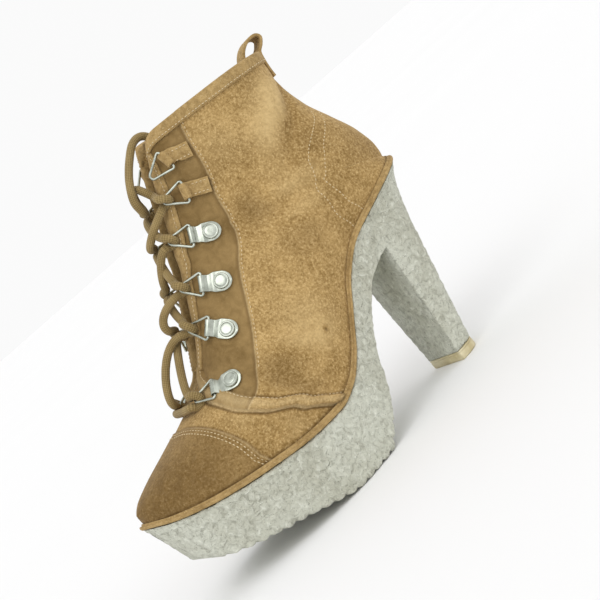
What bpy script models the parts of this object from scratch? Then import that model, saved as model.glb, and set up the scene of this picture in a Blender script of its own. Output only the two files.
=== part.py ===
"""A left foot's lace up ankle boot with a high block heel and a crepe platform.

The boot stands on its sole. X runs from heel to toe, +Y is the outer side of the
foot, +Z is up. Lengths in the tables are shares of the named sizes above them.
"""
import math
from collections import namedtuple

import bmesh
import bpy
import numpy as np
from mathutils import Vector

COLLECTION = "platform_ankle_boot"
CUTTERS = "platform_ankle_boot_cutters"
ROOT = "boot_root"

# Lengths of the whole boot
LENGTH = 0.2385
BALL_WIDTH = 0.0925
HEEL_WIDTH = 0.060
HEEL_HEIGHT = 0.1065
COLLAR_HEIGHT = 0.2008
COLLAR_BACK = 0.1965

# Sole unit
PLATFORM = 0.0345
TOE_RISE = 0.0200
TOE_LIFT = 0.028
HEEL_ROUND = 0.026
TOE_ROUND = 0.033
TOE_UNDERCUT = 0.008
WALL_DRAFT = 0.0015
LUG_PITCH = 0.0068
LUG_DEPTH = 0.0013
BREAST = 0.0445
BREAST_LEAN = 0.0063
TIP_WIDTH = 0.034
TIP_LENGTH = 0.0175
LIFT = 0.0055
HEEL_OVERLAP = 0.007
HEEL_BLEND = 0.030
TIP_FLAT = 0.0006
PLAN_STEP = 0.0075

# Shapes of the sole unit, as shares
LUG_START = 0.47
TIP_ROUND = 2.5
HEEL_HOLLOW = 0.20
HEEL_LEVELS = (0.0, 0.04, 0.09, 0.16, 0.27, 0.45, 0.7, 1.0)

# Leather
WALL = 0.0018
WELT = 0.0022
WELT_RIM = 0.0008
UPPER_INSET = 0.0030
TOE_TIP = 0.00014
INSOLE = 0.0022
CAP_STEP = 0.0008
QUARTER_STEP = 0.0012
FACING_STEP = 0.0003
THROAT = 0.0110
COLLAR_CORNER = 0.0060
TONGUE = 0.0022

# Strips over the collar's and the throat's edges
BINDING = 0.0009
BAND = 0.0060
FACING_BAND = 0.0040
BAND_INSIDE = 0.0040

# Heel loop
LOOP = 0.0018
LOOP_WIDTH = 0.0100
LOOP_RISE = 0.0092
LOOP_EASE = 0.0019

# Rings, what holds them, and the lace
RING_WIRE = 0.0014
RING_BAR = 0.0126
RING_REACH = 0.0160
RING_CORNER = 0.0010
RING_APEX = 0.0020
PLATE = 0.0008
PLATE_WIDTH = 0.0105
PLATE_END = 0.0055
RIVET_TO_RING = 0.0095
RIVET = 0.0085
RIVET_HEAD = 0.0014
RIVET_SIDES = 8
TAB = 0.0014
TAB_WIDTH = 0.0084
TAB_LENGTH = 0.0115
LACE = 0.0044
LACE_CLEAR = 0.0008
LACE_SIDE = 0.0026
BAR_REACH = 0.0060

# Clearances
CLEAR = 0.0003
SEAT = 0.0007
EYE_CLEAR = 0.0004
BINDING_GAP = 0.0004
TONGUE_GAP = 0.0018
FEATHER_GAP = 0.0008

# Share a of the section's outline at its widest place, and where the collar's corner starts
SIDE = 0.34
BACK_ROUND = 2.2
CORNER_START = 0.80

# Distances along the last in stations, and steps in which its slopes are measured
THROAT_BLEND = 2.0
FACING_START = 0.90
TONGUE_START = 0.60
TONGUE_END = 0.50
TONGUE_EDGE = 0.66
STATION_STEP = 0.02
SHARE_STEP = 0.004
ON_CENTRE = 1e-5
MERGED = 1e-6

# Height of the sole's top: share of the heel's rise, share of the toe's rise
TopRow = namedtuple("TopRow", "x heel toe")
TOP_LINE = [
    TopRow(0.000, 1.000, 0.00),
    TopRow(0.030, 0.985, 0.00),
    TopRow(0.159, 0.860, 0.00),
    TopRow(0.249, 0.756, 0.00),
    TopRow(0.318, 0.597, 0.00),
    TopRow(0.380, 0.383, 0.00),
    TopRow(0.444, 0.175, 0.00),
    TopRow(0.501, 0.055, 0.00),
    TopRow(0.565, 0.000, 0.00),
    TopRow(0.633, 0.000, 0.02),
    TopRow(0.755, 0.000, 0.19),
    TopRow(0.862, 0.000, 0.41),
    TopRow(0.950, 0.000, 0.71),
    TopRow(1.000, 0.000, 1.00),
]

# Height of the sole's underside: share of the heel's rise, share of the toe's lift
LowRow = namedtuple("LowRow", "x heel toe")
LOW_LINE = [
    LowRow(0.100, 1.120, 0.00),
    LowRow(0.188, 1.048, 0.00),
    LowRow(0.270, 0.952, 0.00),
    LowRow(0.341, 0.754, 0.00),
    LowRow(0.392, 0.546, 0.00),
    LowRow(0.428, 0.343, 0.00),
    LowRow(0.461, 0.199, 0.00),
    LowRow(0.509, 0.055, 0.00),
    LowRow(0.537, 0.000, 0.00),
    LowRow(0.637, 0.000, 0.00),
    LowRow(0.680, 0.000, 0.07),
    LowRow(0.734, 0.000, 0.21),
    LowRow(0.839, 0.000, 0.43),
    LowRow(0.935, 0.000, 0.67),
    LowRow(0.981, 0.000, 0.88),
    LowRow(1.000, 0.000, 1.00),
]

# Plan of the sole: 0 is the heel's half width, 1 the ball's; skew moves it outward
PlanRow = namedtuple("PlanRow", "x ball skew")
PLAN = [
    PlanRow(0.000, -0.02, 0.004),
    PlanRow(0.105, -0.02, 0.005),
    PlanRow(0.159, -0.03, 0.011),
    PlanRow(0.249, -0.08, 0.019),
    PlanRow(0.318, -0.09, 0.027),
    PlanRow(0.380, 0.00, 0.032),
    PlanRow(0.444, 0.23, 0.035),
    PlanRow(0.501, 0.51, 0.030),
    PlanRow(0.558, 0.77, 0.022),
    PlanRow(0.633, 0.97, 0.013),
    PlanRow(0.690, 0.985, 0.009),
    PlanRow(0.755, 0.83, 0.005),
    PlanRow(0.862, 0.26, -0.003),
    PlanRow(1.000, -0.80, -0.003),
]

# Sections of the last. low_x: lower end along the sole, or on the back line where
# rise (share of the shaft's height at the back) is over 0. up_x, up_z: upper end on
# the front line. wide: half width. level: where it is widest. front: roundness.
Station = namedtuple("Station", "low_x rise up_x up_z wide level front")
STATIONS = [
    Station(0.9880, 0.000, 0.990, 0.165, 0.000, 0.10, 2.3),
    Station(0.969, 0.000, 0.968, 0.186, 0.000, 0.10, 2.3),
    Station(0.929, 0.000, 0.921, 0.211, 0.000, 0.10, 2.3),
    Station(0.868, 0.000, 0.855, 0.239, 0.000, 0.11, 2.2),
    Station(0.797, 0.000, 0.786, 0.270, 0.000, 0.12, 2.15),
    Station(0.721, 0.000, 0.726, 0.304, 0.450, 0.14, 2.1),
    Station(0.654, 0.000, 0.686, 0.342, 0.468, 0.16, 2.0),
    Station(0.587, 0.000, 0.660, 0.389, 0.455, 0.18, 1.9),
    Station(0.516, 0.000, 0.635, 0.441, 0.425, 0.21, 1.8),
    Station(0.440, 0.000, 0.612, 0.493, 0.395, 0.25, 1.75),
    Station(0.361, 0.000, 0.592, 0.542, 0.370, 0.29, 1.7),
    Station(0.273, 0.000, 0.574, 0.587, 0.355, 0.33, 1.7),
    Station(0.180, 0.000, 0.558, 0.626, 0.345, 0.36, 1.65),
    Station(0.092, 0.000, 0.549, 0.659, 0.338, 0.38, 1.65),
    Station(0.034, 0.000, 0.540, 0.683, 0.333, 0.39, 1.65),
    Station(0.0125, 0.000, 0.5325, 0.700, 0.330, 0.40, 1.65),
    Station(0.006, 0.090, 0.520, 0.740, 0.327, 0.41, 1.65),
    Station(0.017, 0.230, 0.505, 0.780, 0.322, 0.42, 1.65),
    Station(0.046, 0.400, 0.488, 0.832, 0.314, 0.43, 1.65),
    Station(0.077, 0.575, 0.472, 0.883, 0.306, 0.44, 1.65),
    Station(0.091, 0.745, 0.457, 0.928, 0.302, 0.45, 1.65),
    Station(0.090, 0.885, 0.444, 0.967, 0.304, 0.45, 1.65),
    Station(0.086, 1.000, 0.434, 1.000, 0.308, 0.45, 1.65),
]
HEEL_STATION = 15.0
LAST_STATION = len(STATIONS) - 1.0

# Seams: the station that each one crosses at share a of the section
SeamRow = namedtuple("SeamRow", "a station")
CAP_SEAM = [SeamRow(0.00, 4.60), SeamRow(0.43, 4.40), SeamRow(0.58, 4.20), SeamRow(0.79, 3.90),
            SeamRow(1.00, 3.68)]
QUARTER_SEAM = [SeamRow(0.00, 7.35), SeamRow(0.37, 6.50), SeamRow(0.48, 5.55), SeamRow(0.64, 4.90),
                SeamRow(0.80, 4.80), SeamRow(0.93, 5.15), SeamRow(1.00, 5.90)]
SEAM_HALF = 0.03

# Eyestay's rear edge: share a that it keeps at each station
EyestayRow = namedtuple("EyestayRow", "station a")
EYESTAY = [EyestayRow(0, 0.60), EyestayRow(6, 0.59), EyestayRow(9, 0.62), EyestayRow(13, 0.67),
           EyestayRow(16.5, 0.675), EyestayRow(19, 0.65), EyestayRow(22, 0.65)]
EYESTAY_HALF = 0.012


# Fixings of the rings, from the collar down: place of the rivet or of the tab's root, the
# place that it points to, and the ring's turn towards the toe in degrees
FixingRow = namedtuple("FixingRow", "station a aim_station aim_a turn")
TABS = [FixingRow(19.5, 0.67, 19.6, 0.80, 25.0), FixingRow(17.4, 0.685, 17.6, 0.80, 8.0)]
PLATES = [FixingRow(13.9, 0.745, 14.4, 0.825, 0.0), FixingRow(10.5, 0.72, 10.5, 0.83, 0.0),
          FixingRow(8.4, 0.74, 8.3, 0.84, 0.0), FixingRow(6.0, 0.71, 5.3, 0.79, 0.0)]

# Plan of a plate from its round end to its fold: share of its end, share of its width
PlateRow = namedtuple("PlateRow", "back wide")
PLATE_PLAN = [PlateRow(1.0, 0.45), PlateRow(0.9, 0.75), PlateRow(0.62, 0.97), PlateRow(0.2, 1.0),
              PlateRow(0.0, 0.82)]

# Where a strap leaves the leather before its fold, in radii of the fold
FOLD_START = 2.4

# Profile of a rivet's head: shares of its half width and of its height, from the top down
RIVET_PROFILE = [(0.0, 1.0), (0.64, 0.86), (0.97, 0.40), (1.0, 0.0), (0.0, 0.0)]

# Lace crossings from the top down: reach and drop of the outer strand, then of the inner one,
# and whether the two touch and make one solid
CrossingRow = namedtuple("CrossingRow", "over over_drop under under_drop joined")
CROSSINGS = [
    CrossingRow(0.0110, 0.0080, 0.0060, -0.0010, True),
    CrossingRow(0.0060, 0.0000, 0.0030, -0.0010, True),
    CrossingRow(0.0170, 0.0100, 0.0060, -0.0020, False),
    CrossingRow(0.0200, 0.0030, 0.0060, 0.0000, False),
]

# Heel loop: share of the way from its inner to its outer leg, share of its rise
LoopRow = namedtuple("LoopRow", "out up")
PULL_LOOP = [LoopRow(0.88, -1.60), LoopRow(0.91, -1.10), LoopRow(1.00, -0.50), LoopRow(1.16, 0.05),
             LoopRow(1.56, 0.38), LoopRow(1.80, 0.72), LoopRow(1.58, 1.00), LoopRow(1.02, 1.00),
             LoopRow(0.50, 0.76), LoopRow(0.11, 0.33), LoopRow(0.00, -0.25), LoopRow(0.00, -1.10)]

# Free end of the lace, from the second ring down round a loose loop and into the collar
LACE_ROUTE = [
    (0.1192, 0.0060, 0.1750), (0.1209, 0.0044, 0.1800), (0.1216, 0.0002, 0.1838),
    (0.1220, -0.0060, 0.1835), (0.1219, -0.0105, 0.1790), (0.1228, -0.0085, 0.1742),
    (0.1256, -0.0030, 0.1715), (0.1280, 0.0020, 0.1742), (0.1281, 0.0035, 0.1805),
    (0.1220, 0.0022, 0.1898), (0.1138, 0.0010, 0.1978), (0.1055, 0.0000, 0.2034),
    (0.0985, -0.0010, 0.2030), (0.0935, -0.0022, 0.1960), (0.0920, -0.0030, 0.1860),
]


def curve_through(xs, ys):
    """Smooth line through the rows of a table, without overshoot."""
    xs = np.array(xs, dtype=float)
    ys = np.array(ys, dtype=float)
    slope = np.diff(ys) / np.diff(xs)
    tangent = np.zeros(len(xs))
    tangent[0] = slope[0]
    tangent[-1] = slope[-1]
    for i in range(1, len(xs) - 1):
        if slope[i - 1] * slope[i] > 0:
            tangent[i] = 2 * slope[i - 1] * slope[i] / (slope[i - 1] + slope[i])

    def value(x):
        x = min(max(x, xs[0]), xs[-1])
        i = min(int(np.searchsorted(xs, x, side="right")) - 1, len(xs) - 2)
        width = xs[i + 1] - xs[i]
        t = (x - xs[i]) / width
        return float((2 * t**3 - 3 * t**2 + 1) * ys[i] + (t**3 - 2 * t**2 + t) * width * tangent[i]
                     + (3 * t**2 - 2 * t**3) * ys[i + 1] + (t**3 - t**2) * width * tangent[i + 1])

    return value


def column(rows, name, key="x"):
    return curve_through([getattr(row, key) for row in rows], [getattr(row, name) for row in rows])


def station_column(name):
    return curve_through(range(len(STATIONS)), [getattr(row, name) for row in STATIONS])


top_heel = column(TOP_LINE, "heel")
top_toe = column(TOP_LINE, "toe")
low_heel = column(LOW_LINE, "heel")
low_toe = column(LOW_LINE, "toe")
plan_ball = column(PLAN, "ball")
plan_skew = column(PLAN, "skew")
station = {name: station_column(name) for name in Station._fields}


def sole_top(x):
    """Height of the sole's top face at the distance x from the heel's back."""
    share = x / LENGTH
    return PLATFORM + top_heel(share) * (HEEL_HEIGHT - PLATFORM) + top_toe(share) * TOE_RISE


def sole_low(x):
    """Height of the sole's underside, between the lugs' grooves."""
    share = x / LENGTH
    return low_heel(share) * (HEEL_HEIGHT - PLATFORM) + low_toe(share) * TOE_LIFT


def half_width(x, side, inset=0.0):
    """Half width of the sole's plan on one side (1 outer, -1 inner), drawn in by inset."""
    toe_start = LENGTH - TOE_ROUND
    share = min(x, toe_start) / LENGTH
    width = 0.5 * (HEEL_WIDTH + plan_ball(share) * (BALL_WIDTH - HEEL_WIDTH))
    width += side * plan_skew(share) * BALL_WIDTH - inset
    if x < HEEL_ROUND:
        reach = min(max((x - inset) / (HEEL_ROUND - inset), 0.0), 1.0)
        width *= (1 - (1 - reach) ** BACK_ROUND) ** (1 / BACK_ROUND)
    if x > toe_start:
        width *= math.sqrt(max(LENGTH - inset - x, 0.0) / (TOE_ROUND - inset))
    return width


def plan_stations(inset, step):
    """Places along the plan, closer together round the heel and the toe."""
    end_count = 7
    toe_start = LENGTH - TOE_ROUND
    middle_count = round((toe_start - HEEL_ROUND) / step)
    heel = [inset + (HEEL_ROUND - inset) * (i / end_count) ** 2 for i in range(end_count)]
    middle = [HEEL_ROUND + (toe_start - HEEL_ROUND) * i / middle_count for i in range(middle_count)]
    toe = [toe_start + (LENGTH - inset - toe_start) * (1 - (1 - i / end_count) ** 2)
           for i in range(end_count + 1)]
    return heel + middle + toe


def new_object(name, mesh, material):
    obj = bpy.data.objects.new(name, mesh)
    obj.data.materials.append(material)
    bpy.data.collections[COLLECTION].objects.link(obj)
    obj.parent = bpy.data.objects[ROOT]
    return obj


def mesh_from(name, verts, faces, twisted=False):
    """A closed mesh: equal points merged, faces turned outward, twisted ones cut into triangles."""
    bm = bmesh.new()
    made = [bm.verts.new(v) for v in verts]
    for face in faces:
        corners = []
        for index in face:
            if made[index] not in corners:
                corners.append(made[index])
        if len(corners) > 2:
            bm.faces.new(corners)
    bmesh.ops.remove_doubles(bm, verts=bm.verts, dist=MERGED)
    bmesh.ops.dissolve_degenerate(bm, edges=bm.edges, dist=MERGED)
    bmesh.ops.recalc_face_normals(bm, faces=bm.faces)
    if bm.calc_volume(signed=True) < 0:
        bmesh.ops.reverse_faces(bm, faces=bm.faces)
    if twisted:
        bmesh.ops.triangulate(bm, faces=bm.faces)
    mesh = bpy.data.meshes.new(name)
    bm.to_mesh(mesh)
    bm.free()
    mesh.shade_smooth()
    mesh.set_sharp_from_angle(angle=math.radians(35))
    return mesh


def loft(rings, closed=False):
    """Faces between rings of equal length; open lofts get end caps."""
    count = len(rings[0])
    verts = [point for ring in rings for point in ring]
    faces = []
    last = len(rings) if closed else len(rings) - 1
    for i in range(last):
        j = (i + 1) % len(rings)
        for a in range(count):
            b = (a + 1) % count
            faces.append((i * count + a, i * count + b, j * count + b, j * count + a))
    if not closed:
        faces.append(tuple(range(count)))
        faces.append(tuple(range((len(rings) - 1) * count, len(rings) * count)))
    return verts, faces


def material(name, colour, roughness, metallic=0.0):
    made = bpy.data.materials.new(name)
    made.use_nodes = True
    shader = made.node_tree.nodes["Principled BSDF"]
    shader.inputs["Base Color"].default_value = (*colour, 1.0)
    shader.inputs["Roughness"].default_value = roughness
    shader.inputs["Metallic"].default_value = metallic
    made.diffuse_color = (*colour, 1.0)
    return made


def lug_offset(x, phase):
    """Height of the groove cut up into the underside at this phase of its pitch."""
    return LUG_DEPTH if phase == 0 and x > LUG_START * LENGTH else 0.0


def block_share(level):
    """How far the heel block has gone from its seat's plan to its tip's at a level."""
    rest = 1 - level
    return level + HEEL_HOLLOW * rest * (1 - rest**8)


def block_half_width(height, side):
    """Half width of the heel block's front edge at a height."""
    seat = sole_top(BREAST)
    share = block_share((seat - height) / (seat - LIFT))
    return half_width(BREAST, side) * (1 - share) + 0.5 * TIP_WIDTH * share


def platform_rings():
    """Sections of platform and arch, from inside the heel to the toe."""
    start = BREAST - HEEL_OVERLAP
    end = LENGTH - TIP_FLAT
    quarter = LUG_PITCH / 4
    count = round((end - start) / quarter)
    places = [(start + (end - start) * i / count, (count - i) % 4) for i in range(count + 1)]
    places = [(x, phase) for x, phase in places if x > LUG_START * LENGTH or phase % 2 == 0]
    rings = []
    for x, phase in places:
        hidden = CLEAR if x < BREAST else 0.0
        top = sole_top(x) - hidden
        low_x = x - TOE_UNDERCUT * low_toe(x / LENGTH) ** 2
        low = sole_low(x) + lug_offset(x, phase)
        away = min(max((x - BREAST) / HEEL_BLEND, 0.0), 1.0)
        away = away * away * (3 - 2 * away)
        ring = []
        for side in (1, -1):
            wide = half_width(x, side) - hidden
            points = []
            for down in (0.0, 0.5, 1.0):
                height = top + down * (low - top)
                plain = wide - min(WALL_DRAFT, 0.5 * wide) * down
                block = block_half_width(height, side) - hidden
                reach = min(plain, block + away * (plain - block))
                points.append((x + down * (low_x - x), side * reach, height))
            ring += points if side == 1 else points[::-1]
        rings.append(ring)
    return rings


def heel_rings():
    """Sections of the heel block from its seat down to the top lift."""
    count = 9
    tip_front = BREAST + BREAST_LEAN
    top_ring = []
    tip_ring = []
    for i in range(-count, count + 1):
        share = abs(i) / count
        side = 1 if i >= 0 else -1
        x = BREAST * share**2
        top_ring.append(Vector((x, side * half_width(x, side), sole_top(x))))
        angle = 0.5 * math.pi * share
        back = TIP_LENGTH * math.cos(angle) ** (2 / TIP_ROUND)
        wide = 0.5 * TIP_WIDTH * math.sin(angle) ** (2 / TIP_ROUND)
        tip_ring.append(Vector((tip_front - back, side * wide, LIFT + CLEAR)))
    rings = []
    for level in HEEL_LEVELS:
        share = block_share(level)
        ring = []
        for top, tip in zip(top_ring, tip_ring):
            flat = top.lerp(tip, share)
            ring.append(Vector((flat.x, flat.y, top.z + level * (tip.z - top.z))))
        rings.append(ring)
    return rings


def make_sole(rubber):
    body = new_object("sole", mesh_from("sole", *loft(platform_rings())), rubber)
    block = bpy.data.objects.new("heel_block", mesh_from("heel_block", *loft(heel_rings())))
    bpy.data.collections[CUTTERS].objects.link(block)
    block.parent = bpy.data.objects[ROOT]
    block.hide_render = True
    block.display_type = "WIRE"
    union = body.modifiers.new("heel", "BOOLEAN")
    union.operation = "UNION"
    union.solver = "EXACT"
    union.object = block


def make_top_lift(lift):
    ring = heel_rings()[-1]
    rings = [[(p.x, p.y, height) for p in ring] for height in (0.0, LIFT)]
    new_object("heel_top_lift", mesh_from("heel_top_lift", *loft(rings)), lift)


def plan_loop(inset, step):
    """Closed run round the plan: outer side forward, inner side back."""
    places = plan_stations(inset, step)
    outer = [(x, half_width(x, 1, inset)) for x in places]
    inner = [(x, -half_width(x, -1, inset)) for x in places[-2:0:-1]]
    return outer + inner


def make_welt(leather):
    outer = plan_loop(-WELT_RIM, PLAN_STEP)
    inner = plan_loop(UPPER_INSET + WALL, PLAN_STEP)
    rings = []
    for (ox, oy), (ix, iy) in zip(outer, inner):
        low_out = sole_top(ox) + CLEAR
        low_in = sole_top(ix) + CLEAR
        rings.append([(ox, oy, low_out), (ox, oy, low_out + WELT),
                      (ix, iy, low_in + WELT), (ix, iy, low_in)])
    new_object("welt", mesh_from("welt", *loft(rings, closed=True)), leather)


def make_insole(lining):
    inset = UPPER_INSET + WALL + CLEAR
    rings = []
    for x in plan_stations(inset, PLAN_STEP):
        low = sole_top(x) + CLEAR
        outer = half_width(x, 1, inset)
        inner = half_width(x, -1, inset)
        rings.append([(x, outer, low), (x, outer, low + INSOLE),
                      (x, -inner, low + INSOLE), (x, -inner, low)])
    new_object("insole", mesh_from("insole", *loft(rings)), lining)


def feather_height(x):
    """Height of the upper's lower edge, just above the welt."""
    return sole_top(max(x, 0.0)) + CLEAR + WELT + FEATHER_GAP


def last_point(k, a, side, gap, droop=1.0):
    """Point of the last's surface: station k, share a from its lower to its upper end."""
    low_x = station["low_x"](k) / STATIONS[0].low_x * (LENGTH - UPPER_INSET + TOE_TIP)
    if k < HEEL_STATION + MERGED:
        low_z = feather_height(low_x)
        low_wide = half_width(low_x, side, UPPER_INSET)
    else:
        seat = feather_height(0)
        low_z = seat + station["rise"](k) * (COLLAR_BACK - seat)
        low_wide = 0.0
    up_x = station["up_x"](k) * LENGTH
    up_z = PLATFORM + station["up_z"](k) * (COLLAR_HEIGHT - PLATFORM)
    wide = max(station["wide"](k) * BALL_WIDTH, low_wide + MERGED)
    level = station["level"](k)
    front = station["front"](k)
    if a < SIDE:
        start = math.asin((low_wide / wide) ** (BACK_ROUND / 2))
        angle = start + (0.5 * math.pi - start) * a / SIDE
        out = wide * math.sin(angle) ** (2 / BACK_ROUND)
        up = level * (1 - (max(math.cos(angle), 0.0) / math.cos(start)) ** (2 / BACK_ROUND))
    else:
        angle = 0.5 * math.pi * min((a - SIDE) / (1 - SIDE), 1.0)
        out = gap + (wide - gap) * max(math.cos(angle), 0.0) ** (2 / front)
        up = level + (1 - level) * math.sin(angle) ** (2 / front)
    height = low_z + up * (up_z - low_z)
    if k > HEEL_STATION:
        near = ((k - HEEL_STATION) / (LAST_STATION - HEEL_STATION)) ** 3
        corner = max(a - CORNER_START, 0.0) / (1 - CORNER_START)
        height -= droop * near * COLLAR_CORNER * corner**2
    return Vector((low_x + up * (up_x - low_x), side * out, height))


def throat_gap(k):
    """Half width of the throat's opening at a station."""
    opened = (k - QUARTER_SEAM[-1].station) / THROAT_BLEND
    return 0.5 * THROAT * min(max(opened, 0.0), 1.0) ** 0.5


def surface(k, a, side, out=0.0, gap=None):
    """Point of the upper's surface, moved out along its normal."""
    if gap is None:
        gap = throat_gap(k)
    point = last_point(k, a, side, gap)
    k0, k1 = max(k - STATION_STEP, 0.0), min(k + STATION_STEP, LAST_STATION)
    if k < HEEL_STATION - STATION_STEP / 2:
        k1 = min(k1, HEEL_STATION)
    else:
        k0 = max(k0, HEEL_STATION + STATION_STEP / 100)
    a0, a1 = max(a - SHARE_STEP, 0.0), min(a + SHARE_STEP, 1.0)
    along = last_point(k1, a, side, gap, 0.0) - last_point(k0, a, side, gap, 0.0)
    across = last_point(k, a1, side, gap, 0.0) - last_point(k, a0, side, gap, 0.0)
    normal = along.cross(across) * side
    if abs(point.y) < ON_CENTRE:
        point.y = 0.0
        normal.y = 0.0
    if normal.length < 1e-12:
        normal = Vector((1, 0, 0))
    return point + normal.normalized() * out


def upper_rows():
    """Rows of the upper from toe to collar: a function of share a, and the panel it lies in."""
    cap = curve_through([row.a for row in CAP_SEAM], [row.station for row in CAP_SEAM])
    quarter = curve_through([row.a for row in QUARTER_SEAM], [row.station for row in QUARTER_SEAM])
    rows = []

    def add_rows(start, end, shares, panel):
        for share in shares:
            rows.append((lambda a, share=share: start(a) + share * (end(a) - start(a)), panel))

    add_rows(lambda a: 0.0, lambda a: cap(a) - SEAM_HALF, [(i / 9) ** 1.4 for i in range(10)], "cap")
    add_rows(lambda a: cap(a) + SEAM_HALF, lambda a: quarter(a) - SEAM_HALF,
             [i / 3 for i in range(4)], "vamp")
    add_rows(lambda a: quarter(a) + SEAM_HALF, lambda a: HEEL_STATION,
             [i / 13 for i in range(14)], "quarter")
    add_rows(lambda a: HEEL_STATION, lambda a: LAST_STATION,
             [i / 9 for i in range(1, 10)], "quarter")
    return rows


def upper_columns():
    """Columns of the upper: share a measured against the eyestay's edge, which is 1."""
    low = [-1 + i / 4 for i in range(4)]
    mid = [i / 4 for i in range(5)]
    high = [1 + i / 4 for i in range(5)]
    return low + mid + high


eyestay_share = curve_through([row.station for row in EYESTAY], [row.a for row in EYESTAY])


def column_share(column_place, k, panel_side):
    """Share a of a column at station k: -1 sole, 0 widest place, 1 eyestay, 2 front line."""
    edge = eyestay_share(k)
    if column_place < 0:
        return SIDE * (1 + column_place)
    if panel_side < 0:
        return SIDE + (edge - EYESTAY_HALF - SIDE) * column_place
    return edge + EYESTAY_HALF + (1 - edge - EYESTAY_HALF) * (column_place - 1)


def panel_step(panel, panel_side):
    if panel == "cap":
        return CAP_STEP
    if panel == "vamp":
        return 0.0
    return QUARTER_STEP if panel_side < 0 else FACING_STEP


def make_upper(suede):
    rows = upper_rows()
    cols = upper_columns()
    rear_cols = 9
    verts = []
    index = {}

    def vert(i, j, side, layer):
        key = (i, j, side, layer)
        if key not in index:
            row, panel = rows[i]
            panel_side = -1 if j < rear_cols else 1
            k = row(column_share(cols[j], 12.0, panel_side))
            a = column_share(cols[j], k, panel_side)
            point = surface(k, a, side, panel_step(panel, panel_side) if layer == 0 else -WALL)
            if j == 0 and k <= HEEL_STATION:
                point.z = feather_height(point.x)
            index[key] = len(verts)
            verts.append(point)
        return index[key]

    faces = []
    last_col = len(cols) - 1
    last_row = len(rows) - 1
    for side in (1, -1):
        for layer in (0, 1):
            for i in range(last_row):
                for j in range(last_col):
                    faces.append(tuple(vert(*key, side, layer)
                                       for key in ((i, j), (i + 1, j), (i + 1, j + 1), (i, j + 1))))
        for j in range(last_col):
            faces.append((vert(last_row, j, side, 0), vert(last_row, j + 1, side, 0),
                          vert(last_row, j + 1, side, 1), vert(last_row, j, side, 1)))
        for i in range(last_row):
            if rows[i][0](0.0) < HEEL_STATION - 1e-9:
                faces.append((vert(i, 0, side, 0), vert(i + 1, 0, side, 0),
                              vert(i + 1, 0, side, 1), vert(i, 0, side, 1)))
            if throat_gap(rows[i + 1][0](1.0)) > 0:
                faces.append((vert(i, last_col, side, 0), vert(i + 1, last_col, side, 0),
                              vert(i + 1, last_col, side, 1), vert(i, last_col, side, 1)))
    new_object("upper", mesh_from("upper", verts, faces), suede)


def make_tongue(suede):
    """Tongue under the facings, from the vamp up to just below the collar."""
    count = 12
    start, end = QUARTER_SEAM[-1].station - TONGUE_START, LAST_STATION - TONGUE_END
    steps = 4
    rings = []
    for i in range(count + 1):
        k = start + (end - start) * i / count
        outer = []
        inner = []
        for j in range(-steps, steps + 1):
            side = 1 if j >= 0 else -1
            a = 1 - (1 - TONGUE_EDGE) * abs(j) / steps
            outer.append(surface(k, a, side, -WALL - TONGUE_GAP, gap=0.0))
            inner.append(surface(k, a, side, -WALL - TONGUE_GAP - TONGUE, gap=0.0))
        rings.append(outer + inner[::-1])
    new_object("tongue", mesh_from("tongue", *loft(rings)), suede)


class Place:
    """Frame on the upper: u runs towards the row's aim, v across it, h out of the leather."""

    def __init__(self, row, side):
        self.row = row
        self.side = side
        k, a = row.station, row.a
        self.origin = surface(k, a, side, FACING_STEP)
        self.normal = (surface(k, a, side, FACING_STEP + LENGTH) - self.origin).normalized()
        aim = surface(row.aim_station, row.aim_a, side, FACING_STEP) - self.origin
        self.u = (aim - self.normal * aim.dot(self.normal)).normalized()
        self.v = self.u.cross(self.normal) * side
        along_k = surface(k + STATION_STEP, a, side) - surface(k - STATION_STEP, a, side)
        along_a = surface(k, a + SHARE_STEP, side) - surface(k, a - SHARE_STEP, side)
        along_k, along_a = along_k / (2 * STATION_STEP), along_a / (2 * SHARE_STEP)
        slopes = [[along_k.dot(self.u), along_a.dot(self.u)], [along_k.dot(self.v), along_a.dot(self.v)]]
        self.solve = np.linalg.inv(np.array(slopes))

    def at(self, u, v, h):
        """Point at height h over the leather, where (u, v) of the tangent plane meets it."""
        k, a = self.row.station, self.row.a
        target = self.origin + self.u * u + self.v * v
        for _ in range(6):
            miss = target - surface(k, a, self.side, FACING_STEP)
            move = self.solve @ np.array([miss.dot(self.u), miss.dot(self.v)])
            k += float(move[0])
            a = min(a + float(move[1]), 1.0)
        miss = target - surface(k, a, self.side, FACING_STEP)
        beyond = self.u * miss.dot(self.u) + self.v * miss.dot(self.v)
        return surface(k, a, self.side, FACING_STEP + h) + beyond


def make_strap(name, place, path, half_width, thick, fold, leather):
    """Flat strap along path, its middle line's (u, h): flat on the leather, then folded round
    a ring's bar. fold holds the bar's frame, its (u, h) and the path's first point on the fold."""
    (middle, ahead, across, out), (eye, height), first = fold
    rings = []

    def corner(i, u, v, h):
        if i < first:
            return place.at(u, v, h)
        return middle + ahead * (u - eye) + across * v + out * (h - height)

    for i, (u, h) in enumerate(path):
        before, after = path[max(i - 1, 0)], path[min(i + 1, len(path) - 1)]
        du, dh = after[0] - before[0], after[1] - before[1]
        length = math.hypot(du, dh)
        nu, nh = -dh / length * thick / 2, du / length * thick / 2
        wide = half_width(i)
        rings.append([corner(i, u + nu, -wide, h + nh), corner(i, u + nu, wide, h + nh),
                      corner(i, u - nu, wide, h - nh), corner(i, u - nu, -wide, h - nh)])
    new_object(name, mesh_from(name, *loft(rings), twisted=True), leather)


def fold_path(start, eye, radius, thick):
    """Middle line (u, h) of a strap that runs flat, then folds over and round a ring's bar."""
    low = SEAT + thick / 2
    middle = low + radius
    flat = [(start, low), (eye - FOLD_START * radius, low)]
    turns = [math.radians(angle) for angle in range(135, -141, -55)]
    return flat + [(eye + radius * math.cos(t), middle + radius * math.sin(t)) for t in turns]


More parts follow.
